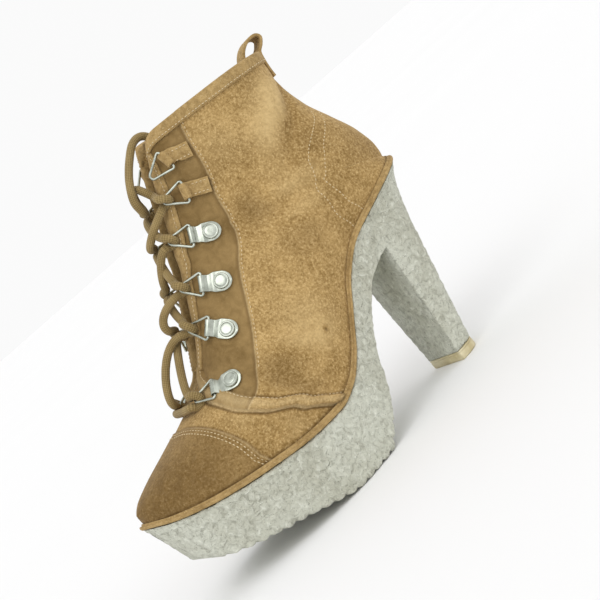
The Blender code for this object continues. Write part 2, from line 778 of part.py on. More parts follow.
def fold_radius(thick):
    """Radius of the middle line of a strap that is folded round a ring's bar."""
    return (RING_WIRE + thick) / 2 + EYE_CLEAR


def bar_height(radius, thick):
    """Height of a ring's bar over the leather."""
    return SEAT + thick / 2 + radius


def ring_frame(row, side, eye, height):
    """Middle of a ring's bar, and the directions from it to the apex and along the bar."""
    place = Place(row, side)
    middle = place.at(eye, 0.0, height)
    ahead = place.at(eye + CLEAR, 0.0, height) - middle
    out = (place.at(eye, 0.0, height + LENGTH) - middle).normalized()
    ahead = (ahead - out * ahead.dot(out)).normalized()
    across = ahead.cross(out) * side
    turn = math.radians(row.turn)
    return (middle, ahead * math.cos(turn) - across * math.sin(turn),
            across * math.cos(turn) + ahead * math.sin(turn), out)


def make_ring(name, frame, metal):
    """Triangle of wire with round corners: its bar through the fold, its apex at the lace."""
    middle, ahead, across, out = frame
    corners = [(0.0, -RING_BAR / 2, RING_CORNER), (0.0, RING_BAR / 2, RING_CORNER),
               (RING_REACH, 0.0, RING_APEX)]
    outline = []
    for i, (u, v, radius) in enumerate(corners):
        last, after = corners[i - 1], corners[(i + 1) % 3]
        here = Vector((u, v))
        back = (Vector(last[:2]) - here).normalized()
        ahead_2d = (Vector(after[:2]) - here).normalized()
        half = 0.5 * back.angle(ahead_2d)
        centre = here + (back + ahead_2d).normalized() * radius / math.sin(half)
        start = here + back * radius / math.tan(half)
        end = here + ahead_2d * radius / math.tan(half)
        if radius == RING_APEX:
            outline += [start, centre + (here - centre).normalized() * radius, end]
        else:
            outline += [start, end]
    points = [middle + ahead * p.x + across * p.y for p in outline]
    make_wire(name, points, RING_WIRE / 2, metal, cyclic=True, resolution=1)


def make_wire(name, points, radius, made_of, cyclic=False, resolution=2):
    curve = bpy.data.curves.new(name, "CURVE")
    curve.dimensions = "3D"
    spline = curve.splines.new("POLY")
    spline.points.add(len(points) - 1)
    for target, point in zip(spline.points, points):
        target.co = (*point, 1.0)
    spline.use_cyclic_u = cyclic
    curve.bevel_depth = radius
    curve.bevel_resolution = resolution
    curve.use_fill_caps = not cyclic
    return new_object(name, curve, made_of)


def make_rivet(name, place, height, metal):
    """Round head on the plate: a profile turned about the rivet's axis."""
    bm = bmesh.new()
    profile = [bm.verts.new((x * RIVET / 2, 0.0, z * RIVET_HEAD)) for x, z in RIVET_PROFILE]
    for upper, lower in zip(profile, profile[1:]):
        bm.edges.new((upper, lower))
    mesh = bpy.data.meshes.new(name)
    bm.to_mesh(mesh)
    bm.free()
    head = new_object(name, mesh, metal)
    screw = head.modifiers.new("turn", "SCREW")
    screw.steps = RIVET_SIDES
    screw.render_steps = RIVET_SIDES
    screw.use_merge_vertices = True
    screw.merge_threshold = 10 * MERGED
    base = place.at(0.0, 0.0, height)
    out = (place.at(0.0, 0.0, height + LENGTH) - base).normalized()
    head.location = base
    head.rotation_euler = out.to_track_quat("Z", "Y").to_euler()


def make_fixings(metal, suede):
    """Plates, leather tabs and their rings, the same on both sides of the throat."""
    for side, word in ((1, "outer"), (-1, "inner")):
        for number, row in enumerate(TABS + PLATES, start=1):
            place = Place(row, side)
            thick, eye = (TAB, TAB_LENGTH) if row in TABS else (PLATE, RIVET_TO_RING)
            radius = fold_radius(thick)
            height = bar_height(radius, thick)
            frame = ring_frame(row, side, eye, height)
            if row in TABS:
                path = fold_path(0.0, eye, radius, thick)
                make_strap("tab_%s_%d" % (word, number), place, path, lambda i: TAB_WIDTH / 2, thick,
                           (frame, (eye, height), 2), suede)
            else:
                ends = [(-PLATE_END * row.back, SEAT + thick / 2) for row in PLATE_PLAN[:-2]]
                widths = [row.wide for row in PLATE_PLAN]
                path = ends + fold_path(-PLATE_END * PLATE_PLAN[-2].back, eye, radius, thick)
                make_strap("plate_%s_%d" % (word, number), place, path,
                           lambda i: PLATE_WIDTH / 2 * widths[min(i, len(widths) - 1)], thick,
                           (frame, (eye, height), len(ends) + 2), metal)
                make_rivet("rivet_%s_%d" % (word, number), place, 2 * SEAT + PLATE, metal)
            make_ring("ring_%s_%d" % (word, number), frame, metal)


def leather_out(k, a):
    """How far the upper's panels stand out of the last's surface at the binding."""
    start = eyestay_share(k) - EYESTAY_HALF
    share = min(max((a - start) / (2 * EYESTAY_HALF), 0.0), 1.0)
    return QUARTER_STEP + share * (FACING_STEP - QUARTER_STEP)


def folded_section(edge, beyond, outer_leg, inner_end, step):
    """Section of a strip folded over an edge: two legs on the wall's faces and a rim beyond it."""
    outer, inner = step + BINDING_GAP, -WALL - BINDING_GAP
    return [outer_leg(1.0, outer + BINDING), outer_leg(0.5, outer + BINDING),
            edge(outer + BINDING) + beyond * (CLEAR + BINDING),
            edge(inner - BINDING) + beyond * (CLEAR + BINDING), inner_end(inner - BINDING),
            inner_end(inner), edge(inner) + beyond * CLEAR, edge(outer) + beyond * CLEAR,
            outer_leg(0.5, outer), outer_leg(1.0, outer)]


def collar_speed(a, side):
    """Length of the collar's wall for one station at share a."""
    below = LAST_STATION - 10 * STATION_STEP
    return (surface(LAST_STATION, a, side) - surface(below, a, side)) / (LAST_STATION - below)


def make_collar_binding(leather):
    """Strip folded over the collar's edge, with a section at each of the upper's own columns."""
    shares = [column_share(place, LAST_STATION, -1) for place in upper_columns()[:9]]
    shares += [column_share(place, LAST_STATION, 1) for place in upper_columns()[9:]]
    rings = []
    for side, a in [(-1, a) for a in shares[:0:-1]] + [(1, a) for a in shares]:
        rise = collar_speed(a, side)
        k_inner = LAST_STATION - BAND_INSIDE / rise.length
        rings.append(folded_section(
            lambda out: surface(LAST_STATION, a, side, out), rise.normalized(),
            lambda down, out: surface(LAST_STATION - down * BAND / rise.length, a, side, out),
            lambda out: surface(k_inner, a, side, out), leather_out(LAST_STATION, a)))
    new_object("collar_binding", mesh_from("collar_binding", *loft(rings)), leather)


def make_facing_binding(name, side, leather):
    """Strip folded over the throat's edge, with a section at each of the upper's own rows."""
    end = LAST_STATION - (BAND + CLEAR) / collar_speed(1.0, side).length
    start = QUARTER_SEAM[-1].station + FACING_START
    spare = 10 * STATION_STEP
    stations = [k for k in (row(1.0) for row, panel in upper_rows()) if start < k < end - spare] + [end]
    rings = []
    for k in stations:
        behind = 1.0 - 5 * SHARE_STEP
        ahead = (surface(k, 1.0, side) - surface(k, behind, side)) / (1.0 - behind)
        a_inner = 1 - BAND_INSIDE / ahead.length
        rings.append(folded_section(
            lambda out: surface(k, 1.0, side, out), ahead.normalized(),
            lambda down, out: surface(k, 1.0 - down * FACING_BAND / ahead.length, side, out),
            lambda out: surface(k, a_inner, side, out), FACING_STEP))
    new_object(name, mesh_from(name, *loft(rings)), leather)


def smooth_line(points, per_span):
    """Smooth curve through hand placed points."""
    points = [Vector(p) for p in points]
    ends = [2 * points[0] - points[1]] + points + [2 * points[-1] - points[-2]]
    line = []
    for p0, p1, p2, p3 in zip(ends, ends[1:], ends[2:], ends[3:]):
        for i in range(per_span):
            t = i / per_span
            line.append(0.5 * (2 * p1 + (p2 - p0) * t + (2 * p0 - 5 * p1 + 4 * p2 - p3) * t**2
                               + (3 * p1 - p0 - 3 * p2 + p3) * t**3))
    return line + [points[-1]]


def make_pull_loop(leather):
    """Heel loop: a band folded over the collar's back."""
    back = surface(LAST_STATION, 0.0, 1)
    outer = back.x - QUARTER_STEP - 2 * CLEAR - BINDING - LOOP / 2
    inner = back.x + WALL + LOOP_EASE + 2 * CLEAR + BINDING + LOOP / 2
    line = smooth_line([(inner + row.out * (outer - inner), 0.0, back.z + row.up * LOOP_RISE)
                        for row in PULL_LOOP], 2)
    rings = []
    for i, point in enumerate(line):
        along = (line[min(i + 1, len(line) - 1)] - line[max(i - 1, 0)]).normalized()
        across = Vector((along.z, 0.0, -along.x)) * LOOP / 2
        wide = Vector((0.0, LOOP_WIDTH / 2, 0.0))
        rings.append([point + across - wide, point + across + wide,
                      point - across + wide, point - across - wide])
    new_object("pull_loop", mesh_from("pull_loop", *loft(rings)), leather)


def apex_reach():
    """Distance from a ring's bar to the middle of its rounded apex."""
    half = math.atan(RING_BAR / 2 / RING_REACH)
    return RING_REACH - RING_APEX / math.sin(half) + RING_APEX


def lace_end(row, side, level):
    """Start of a lace at a ring's apex, and the ring's own directions; level 1 is its upper half."""
    thick, eye = (TAB, TAB_LENGTH) if row in TABS else (PLATE, RIVET_TO_RING)
    middle, ahead, across, out = ring_frame(row, side, eye, bar_height(fold_radius(thick), thick))
    reach = apex_reach() + RING_WIRE / 2 + LACE_CLEAR
    return middle + ahead * reach + across * level * LACE_SIDE, ahead, across


def bezier(start, first, second, end, count):
    line = []
    for i in range(count + 1):
        t = i / count
        s = 1 - t
        line.append(start * s**3 + first * 3 * s * s * t + second * 3 * s * t * t + end * t**3)
    return line


def strand(upper, lower, side, row):
    """Lace from a ring on one side down to the next ring on the other side."""
    start, ahead, across = lace_end(upper, side, -1)
    end, end_ahead, end_across = lace_end(lower, -side, 1)
    reach, drop = (row.over, row.over_drop) if side == 1 else (row.under, row.under_drop)
    first = start + ahead * reach - across * drop
    second = end + end_ahead * reach - end_across * drop
    return bezier(start, first, second, end, 8)


def tube_mesh(name, points):
    """Closed mesh of a lace, its end caps joined to its wall."""
    curve = make_wire(name, points, LACE / 2, bpy.data.materials["lace"], resolution=1)
    bpy.context.view_layer.update()
    mesh = bpy.data.meshes.new_from_object(curve.evaluated_get(bpy.context.evaluated_depsgraph_get()))
    bpy.data.objects.remove(curve, do_unlink=True)
    bm = bmesh.new()
    bm.from_mesh(mesh)
    bmesh.ops.remove_doubles(bm, verts=bm.verts, dist=MERGED)
    bmesh.ops.recalc_face_normals(bm, faces=bm.faces)
    bm.to_mesh(mesh)
    bm.free()
    mesh.materials.clear()
    return mesh


def make_lace(braid):
    """Crossings over the throat, the bar at its foot, and the free loop at its top."""
    rings = (TABS + PLATES)[1:]
    for number, (upper, lower, row) in enumerate(zip(rings, rings[1:], CROSSINGS), start=1):
        name = "lace_crossing_%d" % number
        over_line, under_line = strand(upper, lower, 1, row), strand(upper, lower, -1, row)
        if not row.joined:
            make_wire(name + "_over", over_line, LACE / 2, braid, resolution=1)
            make_wire(name + "_under", under_line, LACE / 2, braid, resolution=1)
            continue
        over = new_object(name, tube_mesh(name, over_line), braid)
        cutter = bpy.data.objects.new(name + "_under", tube_mesh(name + "_under", under_line))
        bpy.data.collections[CUTTERS].objects.link(cutter)
        cutter.parent = bpy.data.objects[ROOT]
        cutter.hide_render = True
        cutter.display_type = "WIRE"
        union = over.modifiers.new("under", "BOOLEAN")
        union.operation = "UNION"
        union.solver = "EXACT"
        union.object = cutter
    start, ahead, across = lace_end(rings[-1], 1, -1)
    end, end_ahead, end_across = lace_end(rings[-1], -1, -1)
    bar = bezier(start, start + ahead * BAR_REACH, end + end_ahead * BAR_REACH, end, 6)
    make_wire("lace_bar", bar, LACE / 2, braid, resolution=1)
    make_wire("lace_loop", smooth_line(LACE_ROUTE, 2), LACE / 2, braid, resolution=1)


def middle_of_plan():
    """Middle of the welt's plan, over which the boot's own origin lies."""
    outer = plan_loop(-WELT_RIM, PLAN_STEP)
    return [0.5 * (min(p[axis] for p in outer) + max(p[axis] for p in outer)) for axis in (0, 1)]


def clear_scene():
    for obj in list(bpy.data.objects):
        bpy.data.objects.remove(obj, do_unlink=True)
    for name in (COLLECTION, CUTTERS):
        made = bpy.data.collections.new(name)
        bpy.context.scene.collection.children.link(made)
    root = bpy.data.objects.new(ROOT, None)
    middle = middle_of_plan()
    root.location = (-middle[0], -middle[1], 0)
    bpy.data.collections[COLLECTION].objects.link(root)


def main():
    clear_scene()
    suede = material("tan_suede", (0.42, 0.26, 0.11), 0.9)
    lining = material("brown_lining", (0.24, 0.16, 0.09), 0.8)
    rubber = material("grey_crepe", (0.50, 0.51, 0.44), 0.85)
    lift = material("tan_top_lift", (0.58, 0.49, 0.28), 0.6)
    metal = material("pale_nickel", (0.70, 0.72, 0.66), 0.35, 1.0)
    braid = material("lace", (0.25, 0.16, 0.06), 0.85)
    make_sole(rubber)
    make_top_lift(lift)
    make_welt(suede)
    make_insole(lining)
    make_upper(suede)
    make_tongue(lining)
    make_collar_binding(suede)
    make_facing_binding("facing_binding_outer", 1, suede)
    make_facing_binding("facing_binding_inner", -1, suede)
    make_pull_loop(suede)
    make_fixings(metal, suede)
    make_lace(braid)


main()
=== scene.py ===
"""Looks of the left foot's lace up ankle boot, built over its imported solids.

Lengths are in metres in the frame of the solids. The tables of the last, the sole and the
fixings repeat those of the solids' own source, and every fine piece is drawn from them.
"""
import math
from collections import namedtuple

import bmesh
import bpy
import numpy as np
from mathutils import Matrix, Vector


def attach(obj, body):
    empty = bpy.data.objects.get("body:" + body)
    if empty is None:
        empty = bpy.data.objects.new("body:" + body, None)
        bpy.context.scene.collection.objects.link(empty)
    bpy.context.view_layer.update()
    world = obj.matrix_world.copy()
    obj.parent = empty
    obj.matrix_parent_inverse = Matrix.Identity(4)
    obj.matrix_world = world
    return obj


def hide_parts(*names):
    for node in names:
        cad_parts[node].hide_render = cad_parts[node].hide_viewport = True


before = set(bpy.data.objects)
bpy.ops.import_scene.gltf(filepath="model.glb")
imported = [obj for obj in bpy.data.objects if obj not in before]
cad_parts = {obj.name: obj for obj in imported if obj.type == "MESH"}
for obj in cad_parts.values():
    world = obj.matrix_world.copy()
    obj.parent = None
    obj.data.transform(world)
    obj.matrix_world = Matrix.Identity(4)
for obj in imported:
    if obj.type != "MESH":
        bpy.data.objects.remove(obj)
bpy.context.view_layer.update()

# Lengths of the whole boot
LENGTH = 0.2385
BALL_WIDTH = 0.0925
HEEL_WIDTH = 0.060
HEEL_HEIGHT = 0.1065
COLLAR_HEIGHT = 0.2008
COLLAR_BACK = 0.1965

# Sole unit
PLATFORM = 0.0345
TOE_RISE = 0.0200
TOE_LIFT = 0.028
HEEL_ROUND = 0.026
TOE_ROUND = 0.033
TOE_UNDERCUT = 0.008
WALL_DRAFT = 0.0015
LUG_PITCH = 0.0068
LUG_DEPTH = 0.0013
BREAST = 0.0445
BREAST_LEAN = 0.0063
TIP_WIDTH = 0.034
TIP_LENGTH = 0.0175
LIFT = 0.0055
HEEL_OVERLAP = 0.007
HEEL_BLEND = 0.030
TIP_FLAT = 0.0006

# Shapes of the sole unit, as shares
LUG_START = 0.47
TIP_ROUND = 2.5
HEEL_HOLLOW = 0.20

# Leather
WALL = 0.0018
WELT = 0.0022
WELT_RIM = 0.0008
UPPER_INSET = 0.0030
TOE_TIP = 0.00014
INSOLE = 0.0022
CAP_STEP = 0.0008
QUARTER_STEP = 0.0012
FACING_STEP = 0.0003
THROAT = 0.0110
COLLAR_CORNER = 0.0060
TONGUE = 0.0022

# Strips over the collar's and the throat's edges
BINDING = 0.0009
BAND = 0.0060
FACING_BAND = 0.0040
BAND_INSIDE = 0.0040

# Heel loop
LOOP = 0.0018
LOOP_WIDTH = 0.0100
LOOP_RISE = 0.0092
LOOP_EASE = 0.0019

# Rings, what holds them, and the lace
RING_WIRE = 0.0014
RING_BAR = 0.0126
RING_REACH = 0.0160
RING_CORNER = 0.0010
RING_APEX = 0.0020
PLATE = 0.0008
PLATE_WIDTH = 0.0105
PLATE_END = 0.0055
RIVET_TO_RING = 0.0095
RIVET = 0.0085
RIVET_HEAD = 0.0014
TAB = 0.0014
TAB_WIDTH = 0.0084
TAB_LENGTH = 0.0115
LACE = 0.0044
LACE_CLEAR = 0.0008
LACE_SIDE = 0.0026
BAR_REACH = 0.0060

# Clearances
CLEAR = 0.0003
SEAT = 0.0007
EYE_CLEAR = 0.0004
TONGUE_GAP = 0.0018
FEATHER_GAP = 0.0008

# Share a of the section's outline at its widest place, and where the collar's corner starts
SIDE = 0.34
BACK_ROUND = 2.2
CORNER_START = 0.80

# Distances along the last in stations, and steps in which its slopes are measured
THROAT_BLEND = 2.0
STATION_STEP = 0.02
SHARE_STEP = 0.004
ON_CENTRE = 1e-5
MERGED = 1e-6

# Threads: length, thickness and pitch of the stitches
STITCH_LONG = 0.0015
STITCH_THICK = 0.00055
BINDING_THREAD = 0.00052
STITCH_PITCH = 0.0022
SEAM_PITCH = 0.0021
EYESTAY_PITCH = 0.0023

# Height of the sole's top: x, share of the heel's rise, share of the toe's rise
TOP_LINE = [(0, 1, 0), (0.03, 0.985, 0), (0.159, 0.86, 0), (0.249, 0.756, 0), (0.318, 0.597, 0),
            (0.38, 0.383, 0), (0.444, 0.175, 0), (0.501, 0.055, 0), (0.565, 0, 0), (0.633, 0, 0.02),
            (0.755, 0, 0.19), (0.862, 0, 0.41), (0.95, 0, 0.71), (1, 0, 1)]

# Height of the sole's underside: x, share of the heel's rise, share of the toe's lift
LOW_LINE = [(0.1, 1.12, 0), (0.188, 1.048, 0), (0.27, 0.952, 0), (0.341, 0.754, 0), (0.392, 0.546, 0),
            (0.428, 0.343, 0), (0.461, 0.199, 0), (0.509, 0.055, 0), (0.537, 0, 0), (0.637, 0, 0),
            (0.68, 0, 0.07), (0.734, 0, 0.21), (0.839, 0, 0.43), (0.935, 0, 0.67), (0.981, 0, 0.88),
            (1, 0, 1)]

# Plan of the sole: x, width from the heel's (0) to the ball's (1), skew outward
PLAN = [(0, -0.02, 0.004), (0.105, -0.02, 0.005), (0.159, -0.03, 0.011), (0.249, -0.08, 0.019),
        (0.318, -0.09, 0.027), (0.38, 0, 0.032), (0.444, 0.23, 0.035), (0.501, 0.51, 0.03),
        (0.558, 0.77, 0.022), (0.633, 0.97, 0.013), (0.69, 0.985, 0.009), (0.755, 0.83, 0.005),
        (0.862, 0.26, -0.003), (1, -0.8, -0.003)]

# Sections of the last. low_x: lower end along the sole, or on the back line where
# rise (share of the shaft's height at the back) is over 0. up_x, up_z: upper end on
# the front line. wide: half width. level: where it is widest. front: roundness.
STATION_PARTS = ("low_x", "rise", "up_x", "up_z", "wide", "level", "front")
STATIONS = [(0.988, 0, 0.99, 0.165, 0, 0.1, 2.3), (0.969, 0, 0.968, 0.186, 0, 0.1, 2.3),
            (0.929, 0, 0.921, 0.211, 0, 0.1, 2.3), (0.868, 0, 0.855, 0.239, 0, 0.11, 2.2),
            (0.797, 0, 0.786, 0.27, 0, 0.12, 2.15), (0.721, 0, 0.726, 0.304, 0.45, 0.14, 2.1),
            (0.654, 0, 0.686, 0.342, 0.468, 0.16, 2), (0.587, 0, 0.66, 0.389, 0.455, 0.18, 1.9),
            (0.516, 0, 0.635, 0.441, 0.425, 0.21, 1.8), (0.44, 0, 0.612, 0.493, 0.395, 0.25, 1.75),
            (0.361, 0, 0.592, 0.542, 0.37, 0.29, 1.7), (0.273, 0, 0.574, 0.587, 0.355, 0.33, 1.7),
            (0.18, 0, 0.558, 0.626, 0.345, 0.36, 1.65), (0.092, 0, 0.549, 0.659, 0.338, 0.38, 1.65),
            (0.034, 0, 0.54, 0.683, 0.333, 0.39, 1.65), (0.0125, 0, 0.5325, 0.7, 0.33, 0.4, 1.65),
            (0.006, 0.09, 0.52, 0.74, 0.327, 0.41, 1.65), (0.017, 0.23, 0.505, 0.78, 0.322, 0.42, 1.65),
            (0.046, 0.4, 0.488, 0.832, 0.314, 0.43, 1.65),
            (0.077, 0.575, 0.472, 0.883, 0.306, 0.44, 1.65),
            (0.091, 0.745, 0.457, 0.928, 0.302, 0.45, 1.65),
            (0.09, 0.885, 0.444, 0.967, 0.304, 0.45, 1.65), (0.086, 1, 0.434, 1, 0.308, 0.45, 1.65)]
HEEL_STATION = 15.0
LAST_STATION = len(STATIONS) - 1.0

# Seams: share a of the section, and the station that the seam crosses there
CAP_SEAM = [(0, 4.6), (0.43, 4.4), (0.58, 4.2), (0.79, 3.9), (1, 3.68)]
QUARTER_SEAM = [(0, 7.35), (0.37, 6.5), (0.48, 5.55), (0.64, 4.9), (0.8, 4.8), (0.93, 5.15), (1, 5.9)]
THROAT_START = QUARTER_SEAM[-1][1]

# Eyestay's rear edge: station, and the share a that it keeps there
EYESTAY = [(0, 0.54), (4.7, 0.545), (6, 0.564), (7, 0.603), (8, 0.624), (9.5, 0.63), (11, 0.631),
           (12.8, 0.645), (14, 0.668), (15, 0.672), (16.5, 0.678), (19, 0.645), (22, 0.65)]

# Fixings of the rings, from the collar down: place of the rivet or of the tab's root, the
# place that it points to, and the ring's turn towards the toe in degrees
FixingRow = namedtuple("FixingRow", "station a aim_station aim_a turn")
TABS = [FixingRow(19.5, 0.67, 19.6, 0.80, 25.0), FixingRow(17.4, 0.685, 17.6, 0.80, 8.0)]
PLATES = [FixingRow(13.9, 0.745, 14.4, 0.825, 0.0), FixingRow(10.5, 0.72, 10.5, 0.83, 0.0),
          FixingRow(8.4, 0.74, 8.3, 0.84, 0.0), FixingRow(6.0, 0.71, 5.3, 0.79, 0.0)]

# Share of its width that a plate has at its fold
PLATE_NECK = 0.82

# Profile of a rivet's head: shares of its half width and of its height
RIVET_PROFILE = [(0.0, 0.93), (0.30, 0.95), (0.60, 0.92), (0.70, 0.84), (0.745, 0.70), (0.78, 0.62),
                 (0.82, 0.64), (0.87, 0.72), (0.93, 0.66), (0.985, 0.40), (1.0, 0.15), (1.0, 0.0)]

# Lace crossings from the top down: reach and drop of the outer strand, then of the inner one,
# and whether the two touch and make one solid
CrossingRow = namedtuple("CrossingRow", "over over_drop under under_drop joined")
CROSSINGS = [
    CrossingRow(0.0110, 0.0080, 0.0060, -0.0010, True),
    CrossingRow(0.0060, 0.0000, 0.0030, -0.0010, True),
    CrossingRow(0.0170, 0.0100, 0.0060, -0.0020, False),
    CrossingRow(0.0200, 0.0030, 0.0060, 0.0000, False),
]

# Heel loop: share of the way from its inner to its outer leg, share of its rise
PULL_LOOP = [(0.88, -1.6), (0.91, -1.1), (1, -0.5), (1.16, 0.05), (1.56, 0.38), (1.8, 0.72), (1.58, 1),
             (1.02, 1), (0.5, 0.76), (0.11, 0.33), (0, -0.25), (0, -1.1)]

# Free end of the lace, from the second ring down round a loose loop and into the collar
LACE_ROUTE = [
    (0.1192, 0.0060, 0.1750), (0.1209, 0.0044, 0.1800), (0.1216, 0.0002, 0.1838),
    (0.1220, -0.0060, 0.1835), (0.1219, -0.0105, 0.1790), (0.1228, -0.0085, 0.1742),
    (0.1256, -0.0030, 0.1715), (0.1280, 0.0020, 0.1742), (0.1281, 0.0035, 0.1805),
    (0.1220, 0.0022, 0.1898), (0.1138, 0.0010, 0.1978), (0.1055, 0.0000, 0.2034),
    (0.0985, -0.0010, 0.2030), (0.0935, -0.0022, 0.1960), (0.0920, -0.0030, 0.1860),
]

# Section of the edge strip: share of the way in, share of its height
WELT_SECTION = [(1.0, 0.0), (0.3, 0.0), (0.04, 0.06), (-0.01, 0.3), (-0.01, 0.58), (0.04, 0.82),
                (0.13, 0.92), (0.20, 0.84), (0.25, 0.90), (0.30, 1.15), (0.35, 1.42), (0.41, 1.52),
                (0.46, 1.42), (0.5, 1.2), (0.52, 0.9), (1.0, 0.9)]

# Section of the top lift: height, inset
LIFT_SECTION = [(0.0, 0.0009), (0.0003, 0.0003), (0.0010, 0.0), (LIFT - 0.0016, 0.0),
                (LIFT - 0.0014, 0.0003), (LIFT - 0.0011, 0.0003), (LIFT - 0.0009, 0.0),
                (LIFT - 0.0004, 0.0), (LIFT, 0.0005)]

# Lace round a ring's apex: ahead, across, out
RING_TURN = [(0.0016, 0.0019, 0.0028), (-0.0012, 0.0010, 0.0034), (-0.0034, 0.0, 0.0010),
             (-0.0030, -0.0008, -0.0022), (-0.0006, -0.0016, -0.0034), (0.0018, -0.0020, -0.0026)]

# Rolled lower edge of the quarter, the grooves by the seams, and how sharp a seam's step is
ROLL = 0.0078
ROLL_RISE = 0.0021
GROOVE = 0.0007
GROOVE_BEHIND = 0.0004
SEAM_GROOVE = 0.0003
SHARP = 0.0005

# Folds: how much of their height shows, and how much painted shade a trough gets, and painted light a
# ridge, for its depth
FOLD_SHARE = 1.5
FOLD_SHADE = 330

# Folds of the leather: side, points (station, a) along the fold, half width, height (below 0 for a trough)
FOLDS = [
    (1, [(21.4, 0.03), (20, 0.12), (18.9, 0.22), (17.8, 0.32), (16.6, 0.4)], 0.0034, -0.0016),
    (1, [(21, 0.14), (19.7, 0.24), (18.4, 0.36), (17, 0.46)], 0.007, 0.0014),
    (1, [(16.4, 0.3), (15.4, 0.42), (14.9, 0.54), (14.6, 0.62)], 0.005, 0.0009),
    (1, [(14.8, 0.34), (13.9, 0.48), (13.6, 0.6)], 0.005, -0.0012),
    (1, [(9.6, 0.22), (9, 0.34), (8.6, 0.46), (8.2, 0.56)], 0.0055, 0.0014),
    (1, [(8.1, 0.18), (7.6, 0.32), (7.1, 0.46), (6.7, 0.57)], 0.0045, -0.0012),
    (1, [(12.4, 0.2), (11.6, 0.38), (11.2, 0.52)], 0.007, -0.0007),
    (1, [(5.4, 0.14), (5.5, 0.3), (5.1, 0.44)], 0.004, -0.0007),
    (-1, [(20.6, 0.05), (19.2, 0.2), (17.9, 0.34), (16.4, 0.45)], 0.004, -0.0012),
    (-1, [(15.3, 0.3), (14.8, 0.46), (14.4, 0.6)], 0.005, -0.001),
    (-1, [(9.8, 0.2), (9.1, 0.36), (8.4, 0.54)], 0.0055, 0.0012),
    (-1, [(8.3, 0.18), (7.9, 0.36), (7.4, 0.55)], 0.005, -0.001),
]

# Stains and rubbed places: side, station, a, radius, how dark (below 0 is lighter)
PATCHES = [(1, 14.2, 0.57, 0.01, 0.45), (1, 15.2, 0.61, 0.007, 0.35), (1, 19.8, 0.22, 0.013, -0.75),
           (1, 18.6, 0.33, 0.011, -0.45), (1, 13.4, 0.42, 0.016, -0.45), (1, 9.4, 0.4, 0.014, -0.45),
           (1, 9.2, 0.29, 0.0014, 1.9), (1, 8, 0.47, 0.01, 0.3), (1, 7.4, 0.54, 0.008, 0.4),
           (1, 19, 0.55, 0.014, -0.3), (1, 2.4, 0.55, 0.03, 0.42), (1, 0.8, 0.5, 0.016, 0.25),
           (1, 5, 0.6, 0.01, -0.5), (1, 5.8, 0.25, 0.01, -0.3), (1, 11.6, 0.3, 0.014, 0.3),
           (1, 16.2, 0.2, 0.014, 0.3), (1, 17.2, 0.3, 0.01, 0.25), (-1, 14.2, 0.5, 0.014, 0.5),
           (-1, 18.8, 0.4, 0.018, -0.5), (-1, 9, 0.4, 0.018, -0.45), (-1, 8, 0.5, 0.012, 0.4),
           (-1, 2.6, 0.55, 0.026, 0.38), (-1, 12, 0.3, 0.016, 0.25)]

# Two rows of stitches round the heel counter: station, a
COUNTER = [(18.5, 0.16), (16.8, 0.32), (14.0, 0.36), (12.2, 0.22), (11.5, 0.02)]
COUNTER_INSIDE = [(18.35, 0.13), (16.7, 0.285), (14.1, 0.325), (12.6, 0.19), (12.0, 0.02)]

SIDES = ((1, "outer"), (-1, "inner"))


def curve_through(xs, ys):
    """Smooth line through the rows of a table, without overshoot; takes arrays."""
    xs = np.array(xs, dtype=float)
    ys = np.array(ys, dtype=float)
    slope = np.diff(ys) / np.diff(xs)
    tangent = np.zeros(len(xs))
    tangent[0] = slope[0]
    tangent[-1] = slope[-1]
    for i in range(1, len(xs) - 1):
        if slope[i - 1] * slope[i] > 0:
            tangent[i] = 2 * slope[i - 1] * slope[i] / (slope[i - 1] + slope[i])

    def value(x):
        x = np.clip(x, xs[0], xs[-1])
        i = np.clip(np.searchsorted(xs, x, side="right") - 1, 0, len(xs) - 2)
        width = xs[i + 1] - xs[i]
        t = (x - xs[i]) / width
        return ((2 * t**3 - 3 * t**2 + 1) * ys[i] + (t**3 - 2 * t**2 + t) * width * tangent[i]
                + (3 * t**2 - 2 * t**3) * ys[i + 1] + (t**3 - t**2) * width * tangent[i + 1])

    return value


def column(rows, number):
    """Smooth line through one column of a table over its first."""
    return curve_through([row[0] for row in rows], [row[number] for row in rows])


top_heel, top_toe = column(TOP_LINE, 1), column(TOP_LINE, 2)
low_heel, low_toe = column(LOW_LINE, 1), column(LOW_LINE, 2)
plan_ball, plan_skew = column(PLAN, 1), column(PLAN, 2)
station = {name: curve_through(range(len(STATIONS)), values)
           for name, values in zip(STATION_PARTS, zip(*STATIONS))}
cap_seam, quarter_seam, eyestay_share = column(CAP_SEAM, 1), column(QUARTER_SEAM, 1), column(EYESTAY, 1)


def blend(x):
    """Smooth step from 0 at x 0 to 1 at x 1."""
    x = np.clip(x, 0.0, 1.0)
    return x * x * (3 - 2 * x)


def sole_top(x):
    share = np.asarray(x) / LENGTH
    return PLATFORM + top_heel(share) * (HEEL_HEIGHT - PLATFORM) + top_toe(share) * TOE_RISE


def sole_low(x):
    share = np.asarray(x) / LENGTH
    return low_heel(share) * (HEEL_HEIGHT - PLATFORM) + low_toe(share) * TOE_LIFT


def half_width(x, side, inset=0.0):
    x = np.asarray(x, dtype=float)
    toe_start = LENGTH - TOE_ROUND
    share = np.minimum(x, toe_start) / LENGTH
    width = 0.5 * (HEEL_WIDTH + plan_ball(share) * (BALL_WIDTH - HEEL_WIDTH))
    width = width + side * plan_skew(share) * BALL_WIDTH - inset
    reach = np.clip((x - inset) / (HEEL_ROUND - inset), 0.0, 1.0)
    width = width * (1 - (1 - reach) ** BACK_ROUND) ** (1 / BACK_ROUND)
    toe = np.sqrt(np.clip(LENGTH - inset - x, 0.0, None) / (TOE_ROUND - inset))
    return width * np.where(x > toe_start, toe, 1.0)


def feather_height(x):
    return sole_top(np.maximum(x, 0.0)) + CLEAR + WELT + FEATHER_GAP


